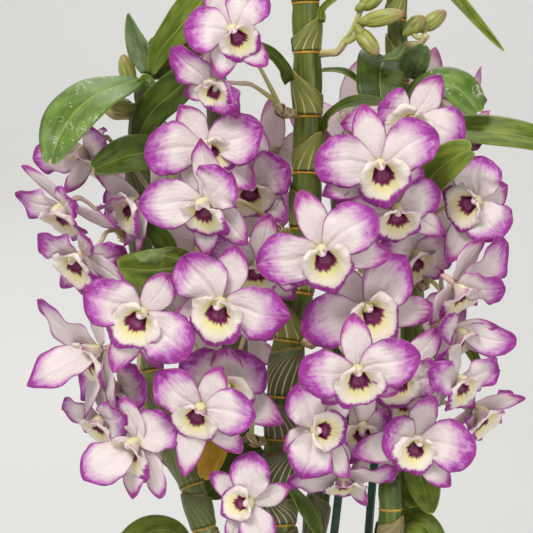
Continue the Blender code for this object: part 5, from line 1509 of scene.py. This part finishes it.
def chips():
    rnd = random.Random(41)
    pile = Pile()
    top_r = POT_TOP_R - RIM_STEP - POT_WALL - 0.006
    spots = []
    for p in list(CANES.values()) + [(v, 0.3) for v in STAKES.values()]:
        pts = curve([at(*q) for q in p[0]], 8)
        i = int(np.argmin(np.abs(pts[:, 2] - MEDIUM_TOP)))
        spots.append((pts[i][0], pts[i][1], CANE_R * p[1] + 0.001))
    made = 0
    tries = 0
    while made < 330 and tries < 6000:
        tries += 1
        a, rr = rnd.uniform(0, 6.2832), top_r * math.sqrt(rnd.random())
        x, y = rr * math.cos(a), rr * math.sin(a)
        if any(math.hypot(x - sx, y - sy) < sr + 0.0045 for sx, sy, sr in spots):
            continue
        lx, ly, lz = rnd.uniform(0.0035, 0.0075), rnd.uniform(0.0028, 0.0055), rnd.uniform(0.0015, 0.0032)
        if math.hypot(x, y) + lx > top_r + 0.004:
            continue
        zc = MEDIUM_TOP + 0.0035 - 0.003 * (rr / top_r) ** 2 + rnd.uniform(-0.0008, 0.0026)
        rot = Vector((rnd.gauss(0, 0.35), rnd.gauss(0, 0.35), 1)).to_track_quat("Z", "Y").to_matrix()
        spin = rnd.uniform(0, 6.28)
        ax = rot @ Vector((math.cos(spin), math.sin(spin), 0))
        ay = rot @ Vector((-math.sin(spin), math.cos(spin), 0))
        az = rot @ Vector((0, 0, 1))
        verts, tone = [], rnd.random()
        n = rnd.choice((5, 6, 7))
        corner = [(math.cos(2 * math.pi * j / n + rnd.uniform(-0.3, 0.3)) * rnd.uniform(0.72, 1.0),
                   math.sin(2 * math.pi * j / n + rnd.uniform(-0.3, 0.3)) * rnd.uniform(0.72, 1.0)) for j in range(n)]
        for lvl, k in ((-1.0, 0.80), (-0.55, 1.0), (0.5, 0.98), (1.0, 0.78)):
            for cx, cy in corner:
                j = 1 + rnd.uniform(-0.06, 0.06)
                verts.append(arr(Vector((x, y, zc)) + ax * (cx * lx * k * j) + ay * (cy * ly * k * j) + az * (lz * (lvl + rnd.uniform(-0.12, 0.12)))))
        faces = []
        for lv in range(3):
            for j in range(n):
                k = (j + 1) % n
                faces.append((lv * n + j, lv * n + k, (lv + 1) * n + k, (lv + 1) * n + j))
        faces.append(tuple(range(n - 1, -1, -1)))
        faces.append(tuple(3 * n + j for j in range(n)))
        pile.add(verts, faces, [(tone, rnd.random(), 0.0)] * len(verts), None, 0)
        made += 1
    ob = pile.make("bark_chips", [BARK], smooth=False)
    return ob


chips()

# ---------------------------------------------------------------- stage
floor = bpy.data.meshes.new("floor")
sweep = [(-7.0, 0.0), (1.3, 0.0)]
sweep += [(1.3 + 2.9 * math.sin(a), 2.9 - 2.9 * math.cos(a)) for a in (math.radians(3 * k) for k in range(1, 31))]
sweep += [(4.2, 6.0)]
floor.from_pydata([(x, y, z) for y, z in sweep for x in (-7, 7)], [],
                  [(2 * i, 2 * i + 1, 2 * i + 3, 2 * i + 2) for i in range(len(sweep) - 1)])
floor.polygons.foreach_set("use_smooth", [True] * len(floor.polygons))
floor_ob = bpy.data.objects.new("floor", floor)
bpy.context.scene.collection.objects.link(floor_ob)
stage_paint = Paint("stage", 0.9, Specular_IOR_Level=0.1)
stage_paint.color(stage_paint.mix(stage_paint.noise(stage_paint.where(), 3.0), (0.76, 0.76, 0.75), (0.80, 0.80, 0.79)))
floor_ob.data.materials.append(stage_paint.m)

world = bpy.data.worlds.new("studio")
bpy.context.scene.world = world
world.use_nodes = True
world.node_tree.nodes["Background"].inputs[0].default_value = (1.0, 0.99, 0.97, 1.0)
world.node_tree.nodes["Background"].inputs[1].default_value = 0.42


def lamp(name, where, aim, power, size, col=(1, 1, 1)):
    data = bpy.data.lights.new(name, "AREA")
    data.energy = power
    data.size = size
    data.color = col
    ob = bpy.data.objects.new(name, data)
    ob.location = where
    ob.rotation_euler = (Vector(aim) - Vector(where)).to_track_quat("-Z", "Y").to_euler()
    bpy.context.scene.collection.objects.link(ob)


middle = (0.0, 0.0, 0.36)
lamp("key", (-0.45, -1.25, 1.35), middle, 21.0, 0.5, (1.0, 0.985, 0.955))
lamp("fill", (1.1, -1.2, 0.55), middle, 6.0, 1.0, (1.0, 0.98, 0.95))
lamp("top", (0.1, 0.5, 1.5), middle, 8.0, 0.9)
lamp("backdrop", (0.0, 1.9, 2.5), (0.0, 4.2, 0.8), 24.0, 1.8)
lamp("back_soft", (-0.8, 2.2, 1.6), middle, 7.0, 1.2)

cam = bpy.data.cameras.new("camera")
cam.sensor_width = 36.0
cam.lens = 36.0 * 1.1 / (533 * GRID)
cam.clip_start = 0.05
cam.clip_end = 50
cam_ob = bpy.data.objects.new("camera", cam)
cam_ob.location = EYE
cam_ob.rotation_euler = (math.radians(90), 0, 0)
bpy.context.scene.collection.objects.link(cam_ob)
bpy.context.scene.camera = cam_ob
bpy.context.scene.view_settings.view_transform = "Standard"
